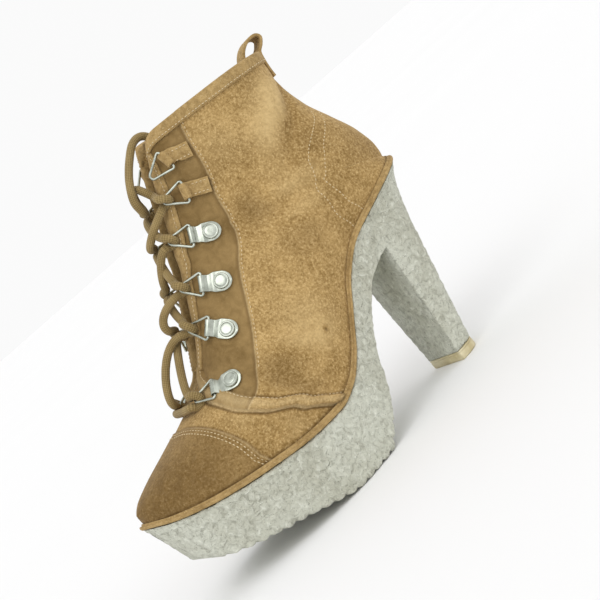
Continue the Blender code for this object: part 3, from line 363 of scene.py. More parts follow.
def last_point(k, a, side, gap, droop=1.0):
    """Points of the last's surface, shaped as the arrays k and a together."""
    k, a = np.broadcast_arrays(np.asarray(k, dtype=float), np.asarray(a, dtype=float))
    low_x = station["low_x"](k) / STATIONS[0][0] * (LENGTH - UPPER_INSET + TOE_TIP)
    seat = feather_height(0.0)
    on_sole = k < HEEL_STATION + MERGED
    low_z = np.where(on_sole, feather_height(low_x), seat + station["rise"](k) * (COLLAR_BACK - seat))
    low_wide = np.where(on_sole, half_width(low_x, side, UPPER_INSET), 0.0)
    up_x = station["up_x"](k) * LENGTH
    up_z = PLATFORM + station["up_z"](k) * (COLLAR_HEIGHT - PLATFORM)
    wide = np.maximum(station["wide"](k) * BALL_WIDTH, low_wide + MERGED)
    level = station["level"](k)
    front = station["front"](k)
    start = np.arcsin((low_wide / wide) ** (BACK_ROUND / 2))
    below = start + (0.5 * np.pi - start) * np.clip(a / SIDE, 0.0, 1.0)
    above = 0.5 * np.pi * np.clip((a - SIDE) / (1 - SIDE), 0.0, 1.0)
    out_low = wide * np.sin(below) ** (2 / BACK_ROUND)
    up_low = level * (1 - (np.clip(np.cos(below), 0.0, None) / np.cos(start)) ** (2 / BACK_ROUND))
    out_high = gap + (wide - gap) * np.clip(np.cos(above), 0.0, None) ** (2 / front)
    up_high = level + (1 - level) * np.sin(above) ** (2 / front)
    out = np.where(a < SIDE, out_low, out_high)
    up = np.where(a < SIDE, up_low, up_high)
    near = np.clip((k - HEEL_STATION) / (LAST_STATION - HEEL_STATION), 0.0, 1.0) ** 3
    corner = np.clip(a - CORNER_START, 0.0, None) / (1 - CORNER_START)
    height = low_z + up * (up_z - low_z) - droop * near * COLLAR_CORNER * corner**2
    return np.stack([low_x + up * (up_x - low_x), side * out, height], axis=-1)


def throat_gap(k):
    opened = (np.asarray(k) - THROAT_START) / THROAT_BLEND
    return 0.5 * THROAT * np.clip(opened, 0.0, 1.0) ** 0.5


def unit(v):
    return v / np.maximum(np.linalg.norm(v, axis=-1, keepdims=True), 1e-12)


def surface(k, a, side, out=0.0, gap=None):
    """Points of the upper's surface, moved out along its normal."""
    k, a = np.broadcast_arrays(np.asarray(k, dtype=float), np.asarray(a, dtype=float))
    if gap is None:
        gap = throat_gap(k)
    point = last_point(k, a, side, gap)
    ahead = k < HEEL_STATION - STATION_STEP / 2
    k0 = np.maximum(k - STATION_STEP, np.where(ahead, 0.0, HEEL_STATION + STATION_STEP / 100))
    k1 = np.minimum(k + STATION_STEP, np.where(ahead, HEEL_STATION, LAST_STATION))
    a0 = np.maximum(a - SHARE_STEP, 0.0)
    a1 = np.minimum(a + SHARE_STEP, 1.0)
    along = last_point(k1, a, side, gap, 0.0) - last_point(k0, a, side, gap, 0.0)
    across = last_point(k, a1, side, gap, 0.0) - last_point(k, a0, side, gap, 0.0)
    normal = np.cross(along, across) * side
    middle = np.abs(point[..., 1]) < ON_CENTRE
    point[..., 1] = np.where(middle, 0.0, point[..., 1])
    normal[..., 1] = np.where(middle, 0.0, normal[..., 1])
    return point + unit(normal) * np.asarray(out)[..., None]


plan_x = np.linspace(0.0, LENGTH, 600)
reach_out, reach_in = (half_width(plan_x, side, -WELT_RIM).max() for side in (1, -1))
SHIFT = np.array([-0.5 * LENGTH, -0.5 * (reach_out - reach_in), 0.0])


class Build:
    """Collects grids of points into one mesh, with named values at the points."""

    def __init__(self):
        self.points = []
        self.faces = []
        self.values = {}
        self.count = 0

    def grid(self, points, closed_u=False, closed_v=False, caps=False, **values):
        points = np.asarray(points, dtype=float)
        n, m = points.shape[:2]
        index = np.arange(n * m).reshape(n, m) + self.count
        u0, u1 = (index, np.roll(index, -1, 0)) if closed_u else (index[:-1], index[1:])
        if closed_v:
            quads = [u0, u1, np.roll(u1, -1, 1), np.roll(u0, -1, 1)]
        else:
            quads = [u0[:, :-1], u1[:, :-1], u1[:, 1:], u0[:, 1:]]
        self.faces += np.stack(quads, -1).reshape(-1, 4).tolist()
        if caps:
            self.faces += [index[0].tolist()[::-1], index[-1].tolist()]
        self.points.append(points.reshape(-1, 3))
        for name, value in values.items():
            flat = np.broadcast_to(value, (n, m)).reshape(-1)
            self.values.setdefault(name, []).append((self.count, flat))
        self.count += n * m
        return self

    def solid(self, points, **values):
        """Grid that closes across and at both ends."""
        return self.grid(points, closed_v=True, caps=True, **values)

    def make(self, name, material, slot, replaces=(), merge=MERGED):
        points = np.concatenate(self.points) + SHIFT
        mesh = bpy.data.meshes.new(name)
        mesh.from_pydata(points.tolist(), [], self.faces)
        for key, pieces in self.values.items():
            whole = np.zeros(self.count, dtype=np.float32)
            for start, flat in pieces:
                whole[start:start + len(flat)] = flat
            mesh.attributes.new(key, "FLOAT", "POINT").data.foreach_set("value", whole)
        bm = bmesh.new()
        bm.from_mesh(mesh)
        if merge:
            bmesh.ops.remove_doubles(bm, verts=bm.verts, dist=merge)
        bmesh.ops.recalc_face_normals(bm, faces=bm.faces)
        bm.to_mesh(mesh)
        bm.free()
        mesh.shade_smooth()
        obj = bpy.data.objects.new(name, mesh)
        bpy.context.scene.collection.objects.link(obj)
        obj.data.materials.append(material)
        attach(obj, "root")
        if replaces:
            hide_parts(*replaces)
        return obj

    def fine(self, node_name, material, slot, merge=MERGED):
        """Finished piece that replaces the solid of that name."""
        return self.make("fine_" + node_name, material, slot, (node_name,), merge)


def around(sides, one, two):
    """Circle of unit steps in the plane of one and two."""
    angle = (2 * np.pi * np.arange(sides) / sides)[:, None]
    return np.cos(angle) * one[..., None, :] + np.sin(angle) * two[..., None, :]


def sweep(points, radius, sides, closed=False):
    """Grid of a round tube along points, its frame carried along without twist."""
    points = np.asarray(points, dtype=float)
    count = len(points)
    if closed:
        tangent = unit(np.roll(points, -1, 0) - np.roll(points, 1, 0))
    else:
        tangent = unit(np.gradient(points, axis=0))
    side = np.zeros((count, 3))
    start = np.cross(tangent[0], [0.0, 0.0, 1.0])
    if np.linalg.norm(start) < 0.1:
        start = np.cross(tangent[0], [1.0, 0.0, 0.0])
    side[0] = unit(start)
    for i in range(1, count):
        side[i] = unit(side[i - 1] - tangent[i] * (side[i - 1] @ tangent[i]))
    other = np.cross(tangent, side)
    radius = np.broadcast_to(np.asarray(radius, dtype=float), (count,))[:, None, None]
    return points[:, None, :] + radius * around(sides, side, other)


def smooth_points(points, per_span):
    """Smooth curve through given points."""
    points = np.asarray(points, dtype=float)
    ends = np.concatenate([[2 * points[0] - points[1]], points, [2 * points[-1] - points[-2]]])
    t = (np.arange(per_span) / per_span)[:, None]
    line = []
    for p0, p1, p2, p3 in zip(ends, ends[1:], ends[2:], ends[3:]):
        line.append(0.5 * (2 * p1 + (p2 - p0) * t + (2 * p0 - 5 * p1 + 4 * p2 - p3) * t**2
                           + (3 * p1 - p0 - 3 * p2 + p3) * t**3))
    return np.concatenate(line + [points[-1:]])


def run_length(points):
    """Length along a line up to each of its points."""
    return np.concatenate([[0.0], np.cumsum(np.linalg.norm(np.diff(points, axis=0), axis=1))])


def at_lengths(points, length, at):
    return np.stack([np.interp(at, length, part) for part in points.T], -1)


def even(points, step):
    """The same line with points an even step apart."""
    length = run_length(points)
    count = max(int(round(length[-1] / step)), 2)
    return at_lengths(points, length, np.linspace(0.0, length[-1], count + 1))


def places(k, a, side, step):
    """Stations and shares at an even step along a dense run of them."""
    length = run_length(last_point(k, a, side, throat_gap(k)))
    at = np.arange(0.5 * step, length[-1], step)
    return np.interp(at, length, k), np.interp(at, length, a)


def along_seam(points, step, side):
    """Places at an even step along a run of given (station, a)."""
    line = smooth_points([(k, a, 0.0) for k, a in points], 30)
    return places(line[:, 0], line[:, 1], side, step)


def near_line(points, side, base):
    """Distance of each point of base to a run of (station, a), and how near its ends are, 0 to 1."""
    k, a = along_seam(points, 0.003, side)
    run = last_point(k, a, side, throat_gap(k))
    best = np.full(base.shape[:-1], 1.0)
    share = np.zeros(base.shape[:-1])
    for i, point in enumerate(run):
        far = np.linalg.norm(base - point, axis=-1)
        nearer = far < best
        best = np.where(nearer, far, best)
        share = np.where(nearer, i / max(len(run) - 1, 1), share)
    return best, np.sin(np.pi * np.clip(share, 0.04, 0.96)) ** 0.6


def speeds(k, a, side):
    """Length of the wall for one station, and for the whole share a, at each place."""
    gap = throat_gap(k)

    def length(k0, k1, a0, a1):
        way = last_point(k1, a1, side, gap, 0.0) - last_point(k0, a0, side, gap, 0.0)
        return np.linalg.norm(way, axis=-1)

    k0, k1 = np.maximum(k - 0.05, 0.0), np.minimum(k + 0.05, LAST_STATION)
    a0, a1 = np.maximum(a - 0.01, 0.0), np.minimum(a + 0.01, 1.0)
    return length(k0, k1, a, a) / (k1 - k0), length(k, k, a0, a1) / (a1 - a0)


def bell(x, middle, width):
    return np.exp(-((x - middle) / width) ** 2)


def relief(k, a, side):
    """Height of the upper over the last, and the values that its colour follows."""
    k, a = np.broadcast_arrays(np.asarray(k, dtype=float), np.asarray(a, dtype=float))
    along, across = speeds(k, a, side)
    behind_cap = (k - cap_seam(a)) * along
    behind_quarter = (k - quarter_seam(a)) * along
    behind_roll = behind_quarter - ROLL - GROOVE_BEHIND
    in_facing = (a - eyestay_share(k)) * across
    facing = blend(in_facing / SHARP + 0.5) * blend(behind_quarter / SHARP)
    height = CAP_STEP * (1 - blend(behind_cap / SHARP + 0.5))
    roll = np.clip(behind_quarter / ROLL, 0.0, 1.0)
    on_quarter = blend(behind_quarter / 0.0006)
    height = height + on_quarter * (QUARTER_STEP + facing * (FACING_STEP - QUARTER_STEP)
                                    + ROLL_RISE * np.sqrt(np.clip(1 - (2 * roll - 1) ** 2, 0.0, 1.0)))
    height = height - GROOVE * bell(behind_roll, 0.0, 0.0007)
    height = height - SEAM_GROOVE * bell(behind_cap, -0.0017, 0.0006)
    height = height - SEAM_GROOVE * bell(in_facing, -0.0014, 0.0005) * (behind_quarter > ROLL)
    base = last_point(k, a, side, throat_gap(k))
    quiet = blend(a / 0.08) * blend((LAST_STATION - k) / 1.5)
    dark = np.zeros(k.shape)
    for on_side, points, wide, high in FOLDS:
        if on_side == side:
            far, inside = near_line(points, side, base)
            fold = quiet * high * inside * bell(far, 0.0, wide)
            height = height + FOLD_SHARE * fold
            # Painted shade along the folds' troughs and painted light along their ridges
            dark = dark - FOLD_SHADE * fold
    for on_side, at_station, share, radius, darker in PATCHES:
        if on_side == side:
            far = np.linalg.norm(base - last_point(at_station, share, side, 0.0), axis=-1)
            dark = dark + darker * bell(far, 0.0, radius)
    # Light raw edges along the quarter's, the cap's and the facing's seams, and a painted highlight along
    # the crest of the quarter's roll
    edge = (0.9 * bell(behind_quarter, 0.0, 0.0007) + 0.6 * bell(behind_cap, 0.0, 0.0006)
            + 0.7 * bell(in_facing, 0.0, 0.0005) * on_quarter
            + 0.5 * bell(behind_quarter, 0.5 * ROLL, 0.3 * ROLL))
    on_cap = 1 - blend(behind_cap / 0.0012)
    dark = dark + on_cap * (0.42 + 0.25 * blend((a - 0.15) / 0.5))
    # Painted shadows: on the vamp under the quarter's edge, in the groove behind the roll, on the facing
    # beside the quarter's edge, on the vamp below the cap's edge, and along the bottom just above the welt
    dark = dark + 1.5 * bell(behind_quarter, -0.0010, 0.0011)
    dark = dark + 0.9 * bell(behind_roll, 0.0, 0.0008) * (1 - facing)
    dark = dark + 0.8 * bell(in_facing, 0.0008, 0.0009) * on_quarter
    dark = dark + 0.7 * bell(behind_cap, 0.0009, 0.0007)
    dark = dark + 0.9 * bell(a * across, 0.0, 0.0016) * (k < HEEL_STATION)
    return height, facing, dark, edge


def eased(count):
    """Shares 0 to 1, closer together by the ends."""
    return 0.5 - 0.5 * np.cos(np.linspace(0.0, np.pi, count))


def packed(count, lead):
    """The same, as far as lead says."""
    t = np.linspace(0.0, 1.0, count + 1)
    return (1 - lead) * t + lead * (0.5 - 0.5 * np.cos(np.pi * t))


def row_station(kind, p, a):
    cap, quarter = cap_seam(a), quarter_seam(a)
    if kind == "cap":
        return p ** 1.15 * cap
    if kind == "vamp":
        return cap + p * (quarter - cap)
    if kind == "roll":
        return quarter + 0.75 * p
    if kind == "quarter":
        return quarter + 0.75 + p * (HEEL_STATION - quarter - 0.75)
    return HEEL_STATION + p * (LAST_STATION - HEEL_STATION) + 0.0 * a


def upper_places():
    """Station and share a of every point of the fine upper; its rows and columns keep to the seams."""
    low, mid, high = SIDE * np.linspace(0.0, 1.0, 45)[:-1], packed(46, 0.5)[:-1], packed(40, 0.4)
    rows = []
    for kind, steps in (("cap", packed(64, 0.4)[:-1]), ("vamp", packed(34, 0.7)[:-1]),
                        ("roll", packed(16, 0.3)[:-1]), ("quarter", np.linspace(0, 1, 150)[:-1]),
                        ("shaft", np.linspace(0, 1, 72))):
        for p in steps:
            share = np.concatenate([low, np.zeros(len(mid) + len(high))])
            for _ in range(4):
                edge = eyestay_share(row_station(kind, p, share)[len(low):])
                front = edge[len(mid):]
                rear = SIDE + mid * (edge[:len(mid)] - SIDE)
                share = np.concatenate([low, rear, front + high * (1 - front)])
            rows.append((row_station(kind, p, share), share))
    return np.moveaxis(np.array(rows), 1, 0)


def fine_upper(suede, lining):
    outer, inner = Build(), Build()
    k, a = upper_places()
    for side in (1, -1):
        height, facing, dark, edge = relief(k, a, side)
        points = surface(k, a, side, height)
        flat = (a < 1e-9) & (k <= HEEL_STATION)
        points[..., 2] = np.where(flat, feather_height(points[..., 0]), points[..., 2])
        outer.grid(points, facing=facing, dark=dark, edge=edge)
        inner.grid(surface(k[::3, ::3], a[::3, ::3], side, -WALL))
        outer.grid(np.stack([surface(LAST_STATION, a[-1], side, out)
                             for out in (height[-1], -WALL)], axis=1))
        throat = k[:, -1] > THROAT_START
        outer.grid(np.stack([surface(k[throat, -1], 1.0, side, out)
                             for out in (height[throat, -1], np.full(throat.sum(), -WALL))], axis=1))
    outer.fine("upper", suede, "suede")
    inner.make("upper_lining", lining, "lining")


def add_stitches(made, here, up, thick, sag=0.0):
    """Threads at the points here, on the face whose way out is up; sag sinks their ends."""
    reach = np.linspace(-1.0, 1.0, 6)
    radius = 0.5 * thick * np.sqrt(np.clip(1 - reach**2, 0.02, 1.0))
    ahead = unit(np.gradient(here, axis=0))
    for point, tangent, normal, beside in zip(here, ahead, up, np.cross(ahead, up)):
        middle = (point + tangent * (reach * STITCH_LONG / 2)[:, None]
                  - normal * (sag * thick * reach**2)[:, None])
        made.grid(middle[:, None, :] + radius[:, None, None] * around(6, beside, normal), closed_v=True)


def sew(thread):
    """Stitches along the seams and round the heel counter."""
    made = Build()
    for side in (1, -1):
        runs = []
        for curve, behind, last in ((quarter_seam, ROLL + 0.0002, 0.99), (cap_seam, -0.0016, 1.0),
                                    (cap_seam, -0.0036, 1.0)):
            a = np.linspace(0.02, last, 400)
            k = curve(a)
            runs.append(places(k + behind / speeds(k, a, side)[0], a, side, SEAM_PITCH))
        k = np.linspace(7.1, 21.3, 400)
        a = eyestay_share(k)
        runs.append(places(k, a - 0.0013 / speeds(k, a, side)[1], side, EYESTAY_PITCH))
        runs += [along_seam(points, STITCH_PITCH, side) for points in (COUNTER, COUNTER_INSIDE)]
        for k, a in runs:
            height = relief(k, a, side)[0]
            here = surface(k, a, side, height)
            add_stitches(made, here, unit(surface(k, a, side, height + 0.001) - here), STITCH_THICK, 0.12)
    made.make("seam_stitches", thread, "trim", merge=0)


def folded(band, bulge, at):
    """Grid of a soft strip folded over an edge; at gives its points for (down, out)."""
    top, bottom = CLEAR + BINDING + 0.35 * bulge, -WALL - CLEAR - BINDING
    middle, half = 0.5 * (top + bottom), 0.5 * (top - bottom)
    rows = [(band, CLEAR), (band * 1.02, CLEAR + 0.25 * BINDING), (band * 0.99, CLEAR + 0.8 * BINDING),
            (band * 0.93, CLEAR + BINDING + 0.8 * bulge)]
    rows += [(band * t, CLEAR + BINDING + bulge * (0.35 + 0.65 * math.sin(math.pi * t)))
             for t in (0.86, 0.78, 0.68, 0.55, 0.42, 0.28, 0.14, 0.04)]
    rows += [(-(CLEAR + BINDING) * math.sin(t) ** 0.8, middle + half * math.cos(t))
             for t in np.linspace(0.15, math.pi - 0.15, 9)]
    rows += [(BAND_INSIDE * t, bottom) for t in (0.1, 0.4, 0.7, 0.95)]
    rows += [(BAND_INSIDE * 1.02, bottom + 0.5 * BINDING), (BAND_INSIDE, bottom + BINDING)]
    return np.stack([at(down, out) for down, out in rows], axis=1)


def collar_rise(a, side):
    """Way up the wall at the collar, for one station."""
    return (surface(LAST_STATION, a, side) - surface(LAST_STATION - 0.2, a, side)) / 0.2


def collar_step(a):
    share = blend((a - eyestay_share(LAST_STATION) + 0.01) / 0.02)
    return QUARTER_STEP + share * (FACING_STEP - QUARTER_STEP)


def throat_way(k, side):
    """Way across the wall at the throat, for the whole share."""
    return (surface(k, 1.0, side) - surface(k, 0.98, side)) / 0.02


def bindings(trim):
    """Soft strips over the collar's and the throat's edges."""
    a = np.linspace(0.0, 1.0, 110)
    step = collar_step(a)
    rings = []
    for side in (-1, 1):
        rise = collar_rise(a, side)
        speed = np.linalg.norm(rise, axis=-1)

        def at(down, out):
            lifted = np.where(out > 0, step + out, out)
            point = surface(LAST_STATION - max(down, 0.0) / speed, a, side, lifted)
            return point + unit(rise) * max(-down, 0.0)

        grid = folded(BAND, 0.0005, at)
        rings.append(grid[:0:-1] if side == -1 else grid)
    Build().solid(np.concatenate(rings)).fine("collar_binding", trim, "trim")
    k = np.linspace(THROAT_START + 0.30, LAST_STATION - 1.25, 130)
    for side, word in SIDES:
        ahead = throat_way(k, side)
        speed = np.linalg.norm(ahead, axis=-1)

        def at(down, out):
            lifted = np.where(out > 0, FACING_STEP + out, out)
            point = surface(k, 1.0 - max(down, 0.0) / speed, side, lifted)
            return point + unit(ahead) * max(-down, 0.0)

        Build().solid(folded(FACING_BAND, 0.0004, at)).fine("facing_binding_" + word, trim, "trim")


def binding_stitches(thread):
    """Stitches along both bindings."""
    made = Build()
    for side in (1, -1):
        a = np.linspace(0.01, 0.985, 500)
        k = LAST_STATION - 0.82 * BAND / np.linalg.norm(collar_rise(a, side), axis=-1)
        runs = [(k, a, collar_step(a) + CLEAR + BINDING + 0.0006)]
        k = np.linspace(THROAT_START + 0.4, LAST_STATION - 1.3, 500)
        a = 1.0 - 0.80 * FACING_BAND / np.linalg.norm(throat_way(k, side), axis=-1)
        runs.append((k, a, FACING_STEP + CLEAR + BINDING + 0.0005))
        for k, a, lift in runs:
            here = surface(k, a, side, lift)
            length = run_length(here)
            at = np.arange(0.5 * STITCH_PITCH, length[-1], STITCH_PITCH)
            pick = np.unique(np.searchsorted(length, at))
            up = unit(surface(k, a, side, lift + 0.001) - here)
            add_stitches(made, here[pick], up[pick], BINDING_THREAD)
    made.make("binding_stitches", thread, "trim", merge=0)


def fine_tongue(facing):
    """Soft tongue under the laces."""
    k = np.linspace(THROAT_START - 0.6, LAST_STATION - 0.5, 90)
    across = [(-1, t) for t in np.linspace(1.0, 0.0, 24)] + [(1, t) for t in np.linspace(0.0, 1.0, 24)[1:]]
    faces = [[], []]
    for side, t in across:
        thin = 0.4 * TONGUE * t**6
        for face, depth in zip(faces, (thin, TONGUE - thin)):
            face.append(surface(k, 1 - 0.34 * t, side, -WALL - TONGUE_GAP - depth, gap=0.0))
    Build().solid(np.stack(faces[0] + faces[1][::-1], axis=1)).fine("tongue", facing, "facing")


def fine_insole(lining):
    inset = UPPER_INSET + WALL + CLEAR
    x = inset + (LENGTH - 2 * inset) * eased(140)
    cross = np.linspace(-1.0, 1.0, 31)
    outer, inner = half_width(x, 1, inset)[:, None], half_width(x, -1, inset)[:, None]
    y = np.where(cross > 0, cross * outer, cross * inner)
    low = np.broadcast_to((sole_top(x) + CLEAR)[:, None], y.shape)
    x = np.broadcast_to(x[:, None], y.shape)
    top = np.stack([x, y, low + (INSOLE - 0.0006 * (1 - cross**2))], -1)
    bottom = np.stack([x, y, low], -1)[:, ::-1]
    Build().solid(np.concatenate([top, bottom], 1)).fine("insole", lining, "lining")


def plan_run(inset, count):
    """Closed run round the plan at even steps, outer side forward, inner side back."""
    x = inset + (LENGTH - 2 * inset) * eased(900)
    outer = np.stack([x, half_width(x, 1, inset)], -1)
    inner = np.stack([x, -half_width(x, -1, inset)], -1)[::-1]
    line = np.concatenate([outer, inner[1:-1], outer[:1]])
    length = run_length(line)
    return at_lengths(line, length, np.linspace(0.0, length[-1], count + 1)[:-1])


def fine_welt(trim):
    """Rounded edge strip between the upper and the sole."""
    outer, inner = plan_run(-WELT_RIM, 560), plan_run(UPPER_INSET + WALL, 560)
    inner = np.array([inner[np.argmin(np.linalg.norm(inner - p, axis=1))] for p in outer])
    rows = []
    for inward, up in WELT_SECTION:
        flat = outer + (inner - outer) * inward
        rows.append(np.concatenate([flat, (sole_top(flat[:, 0]) + CLEAR + up * WELT)[:, None]], 1))
    Build().grid(np.stack(rows, 1), closed_u=True, closed_v=True).fine("welt", trim, "trim")


def lug_profile(x):
    """Rise of the underside over its lugs' crests, as rounded ribs with sharp grooves between them."""
    end = LENGTH - TIP_FLAT
    s = np.abs(((end - x) / LUG_PITCH + 0.5) % 1.0 - 0.5)
    rise = 1 - np.sqrt(np.clip(1 - (1 - 2 * s) ** 2, 0.0, 1.0))
    return LUG_DEPTH * 1.5 * rise * (x > LUG_START * LENGTH)


def block_share(level):
    rest = 1 - level
    return level + HEEL_HOLLOW * rest * (1 - rest**8)


def heel_tip(t):
    """Outline of the heel's tip, for t from -1 on the inner side to 1 on the outer."""
    angle = 0.5 * np.pi * np.abs(t)
    x = BREAST + BREAST_LEAN - TIP_LENGTH * np.cos(angle) ** (2 / TIP_ROUND)
    return x, np.where(t >= 0, 1, -1) * 0.5 * TIP_WIDTH * np.sin(angle) ** (2 / TIP_ROUND)


def fine_sole(crepe):
    """Platform, arch and heel block with rounded ribs, before the crepe's own roughness."""
    start, end = BREAST - HEEL_OVERLAP, LENGTH - TIP_FLAT
    x = np.linspace(start, end, int((end - start) / 0.0006))
    undercut = TOE_UNDERCUT * low_toe(x / LENGTH) ** 2
    wall = np.concatenate([[0.0, 0.012, 0.04], np.linspace(0.08, 0.95, 20), [0.975, 0.992, 1.0]])
    hidden = np.where(x < BREAST, CLEAR, 0.0)
    away = blend((x - BREAST) / HEEL_BLEND)
    seat = float(sole_top(BREAST))
    top, low = sole_top(x) - hidden, sole_low(x) + lug_profile(x)
    rings = []
    for side in (1, -1):
        wide = half_width(x, side) - hidden
        for down in (wall if side == 1 else wall[::-1]):
            height = top + down * (low - top)
            plain = wide - np.minimum(WALL_DRAFT, 0.5 * wide) * down
            rounded = np.clip((0.03 - down) / 0.03, 0, 1) ** 2 + np.clip((down - 0.97) / 0.03, 0, 1) ** 2
            plain = plain - 0.0007 * rounded
            share = block_share(np.clip((seat - height) / (seat - LIFT), 0.0, 1.0))
            block = half_width(BREAST, side) * (1 - share) + 0.5 * TIP_WIDTH * share - hidden
            reach = np.maximum(np.minimum(plain, block + away * (plain - block)), 0.0002)
            rings.append(np.stack([x - down * undercut, side * reach, height], -1))
    made = Build().solid(np.stack(rings, 1))
    share = block_share(np.linspace(0.0, 1.0, 120)[:, None])
    t = np.linspace(-1.0, 1.0, 121)
    bx = BREAST * np.abs(t) ** 2
    by = np.where(t >= 0, half_width(bx, 1), -half_width(bx, -1))
    tip_x, tip_y = heel_tip(t)
    height = sole_top(bx) + np.linspace(0.0, 1.0, 120)[:, None] * (LIFT + CLEAR - sole_top(bx))
    made.solid(np.stack([bx + (tip_x - bx) * share, by + (tip_y - by) * share, height], -1))
    sole = made.fine("sole", crepe, "crepe")
    knobs = bpy.data.textures.new("crepe_knobs", "CLOUDS")
    knobs.noise_scale = 0.0030
    knobs.noise_depth = 2
    rough = sole.modifiers.new("knobs", "DISPLACE")
    rough.texture = knobs
    rough.texture_coords = "LOCAL"
    rough.strength = 0.0013
    rough.mid_level = 0.60


def fine_top_lift(lift):
    flat = np.stack(heel_tip(np.linspace(-1.0, 1.0, 121)), -1)
    inward = unit(np.array([BREAST + BREAST_LEAN - 0.5 * TIP_LENGTH, 0.0]) - flat)
    rows = [np.concatenate([flat + inward * inset, np.full((len(flat), 1), height)], 1)
            for height, inset in LIFT_SECTION]
    Build().solid(np.stack(rows)).make("fine_top_lift", lift, "top_lift", ("heel_top_lift",))


class Place:
    """Frame on the upper: u runs towards the row's aim, v across it, h out of the leather."""

    def __init__(self, row, side):
        self.row, self.side = row, side
        k, a = row.station, row.a
        self.origin = surface(k, a, side, FACING_STEP)
        self.normal = unit(surface(k, a, side, FACING_STEP + LENGTH) - self.origin)
        aim = surface(row.aim_station, row.aim_a, side, FACING_STEP) - self.origin
        self.u = unit(aim - self.normal * (aim @ self.normal))
        self.v = np.cross(self.u, self.normal) * side
        along_k = (surface(k + 0.05, a, side) - surface(k - 0.05, a, side)) / 0.1
        along_a = (surface(k, a + 0.005, side) - surface(k, a - 0.005, side)) / 0.01
        self.solve = np.linalg.inv(np.array([[along_k @ self.u, along_a @ self.u],
                                             [along_k @ self.v, along_a @ self.v]]))

    def at(self, u, v, h):
        """Points at height h over the leather, where (u, v) of the tangent plane meets it."""
        u, v, h = np.broadcast_arrays(np.asarray(u, float), np.asarray(v, float), np.asarray(h, float))
        k = np.full(u.shape, float(self.row.station))
        a = np.full(u.shape, float(self.row.a))
        target = self.origin + u[..., None] * self.u + v[..., None] * self.v
        for _ in range(6):
            miss = target - surface(k, a, self.side, FACING_STEP)
            along, across = miss @ self.u, miss @ self.v
            k = k + self.solve[0, 0] * along + self.solve[0, 1] * across
            a = np.minimum(a + self.solve[1, 0] * along + self.solve[1, 1] * across, 1.0)
        miss = target - surface(k, a, self.side, FACING_STEP)
        beyond = (miss @ self.u)[..., None] * self.u + (miss @ self.v)[..., None] * self.v
        return surface(k, a, self.side, FACING_STEP + h) + beyond


def fold_radius(thick):
    return (RING_WIRE + thick) / 2 + EYE_CLEAR


def bar_height(radius, thick):
    return SEAT + thick / 2 + radius


def ring_frame(row, side):
    """Middle of a ring's bar, and the directions to the apex, along the bar and out."""
    thick, eye = (TAB, TAB_LENGTH) if row in TABS else (PLATE, RIVET_TO_RING)
    height = bar_height(fold_radius(thick), thick)
    place = Place(row, side)
    middle = place.at(eye, 0.0, height)
    ahead = place.at(eye + CLEAR, 0.0, height) - middle
    out = unit(place.at(eye, 0.0, height + LENGTH) - middle)
    ahead = unit(ahead - out * (ahead @ out))
    across = np.cross(ahead, out) * side
    turn = math.radians(row.turn)
    return (middle, ahead * math.cos(turn) - across * math.sin(turn),
            across * math.cos(turn) + ahead * math.sin(turn), out)


def ring_outline():
    """Closed line of a ring's wire in its own plane, its corners round."""
    corners = [(0.0, -RING_BAR / 2, RING_CORNER), (0.0, RING_BAR / 2, RING_CORNER),
               (RING_REACH, 0.0, RING_APEX)]
    line = []
    for i, (u, v, radius) in enumerate(corners):
        here = np.array([u, v])
        back = unit(np.array(corners[i - 1][:2]) - here)
        ahead = unit(np.array(corners[(i + 1) % 3][:2]) - here)
        half = 0.5 * math.acos(float(back @ ahead))
        middle = here + unit(back + ahead) * radius / math.sin(half)
        start = here + back * radius / math.tan(half) - middle
        end = here + ahead * radius / math.tan(half) - middle
        for t in np.linspace(0.0, 1.0, 9):
            line.append(middle + unit((1 - t) * start + t * end) * radius)
    return np.array(line)


def apex_reach():
    half = math.atan(RING_BAR / 2 / RING_REACH)
    return RING_REACH - RING_APEX / math.sin(half) + RING_APEX


def strap_section(wide, thick, soft):
    """Closed section (v, n) of a flat strap with round edges."""
    t = np.linspace(0.0, 2 * np.pi, 21)[:-1]
    c, s = np.cos(t), np.sin(t)
    edge = min(soft, thick / 2)
    return np.stack([np.sign(c) * (wide - edge) * (np.abs(c) > 0.12) + edge * c,
                     (thick / 2) * np.sign(s) * np.abs(s) ** 0.5], -1)


def strap(made, place, frame_of_ring, eye, thick, flat, widths, crown=0.0):
    """Strap that lies flat along flat, a list of u, then folds round the ring's bar."""
    middle, ahead, across, out = frame_of_ring
    radius = fold_radius(thick)
    height = bar_height(radius, thick)
    rings = []
    for i, u in enumerate(flat):
        section = strap_section(widths(u), thick, thick / 2)
        rise = crown * np.exp(-((u - 0.45 * eye) / 0.0012) ** 2)
        turned = blend((u - 0.35 * eye) / (0.5 * eye)) if u > 0 else 0.0
        plain = place.at(u, section[:, 0], SEAT + thick / 2 + section[:, 1] + rise)
        firm = (middle + ahead * (u - eye) + across * section[:, :1]
                + out * (SEAT + thick / 2 + section[:, 1:] - height))
        rings.append(plain * (1 - turned) + firm * turned)
    for t in np.radians(np.arange(150.0, -200.0, -14.0)):
        section = strap_section(widths(eye), thick, thick / 2)
        reach = radius + section[:, 1:]
        rings.append(middle + across * section[:, :1] + (ahead * math.cos(t) + out * math.sin(t)) * reach)
    made.solid(np.stack(rings))


def plate_width(u):
    if u < 0:
        return PLATE_WIDTH / 2 * math.sqrt(max(1 - (u / PLATE_END) ** 2, 0.02))
    return PLATE_WIDTH / 2 * (1 - (1 - PLATE_NECK) * float(blend((u - 0.0030) / 0.0035)))


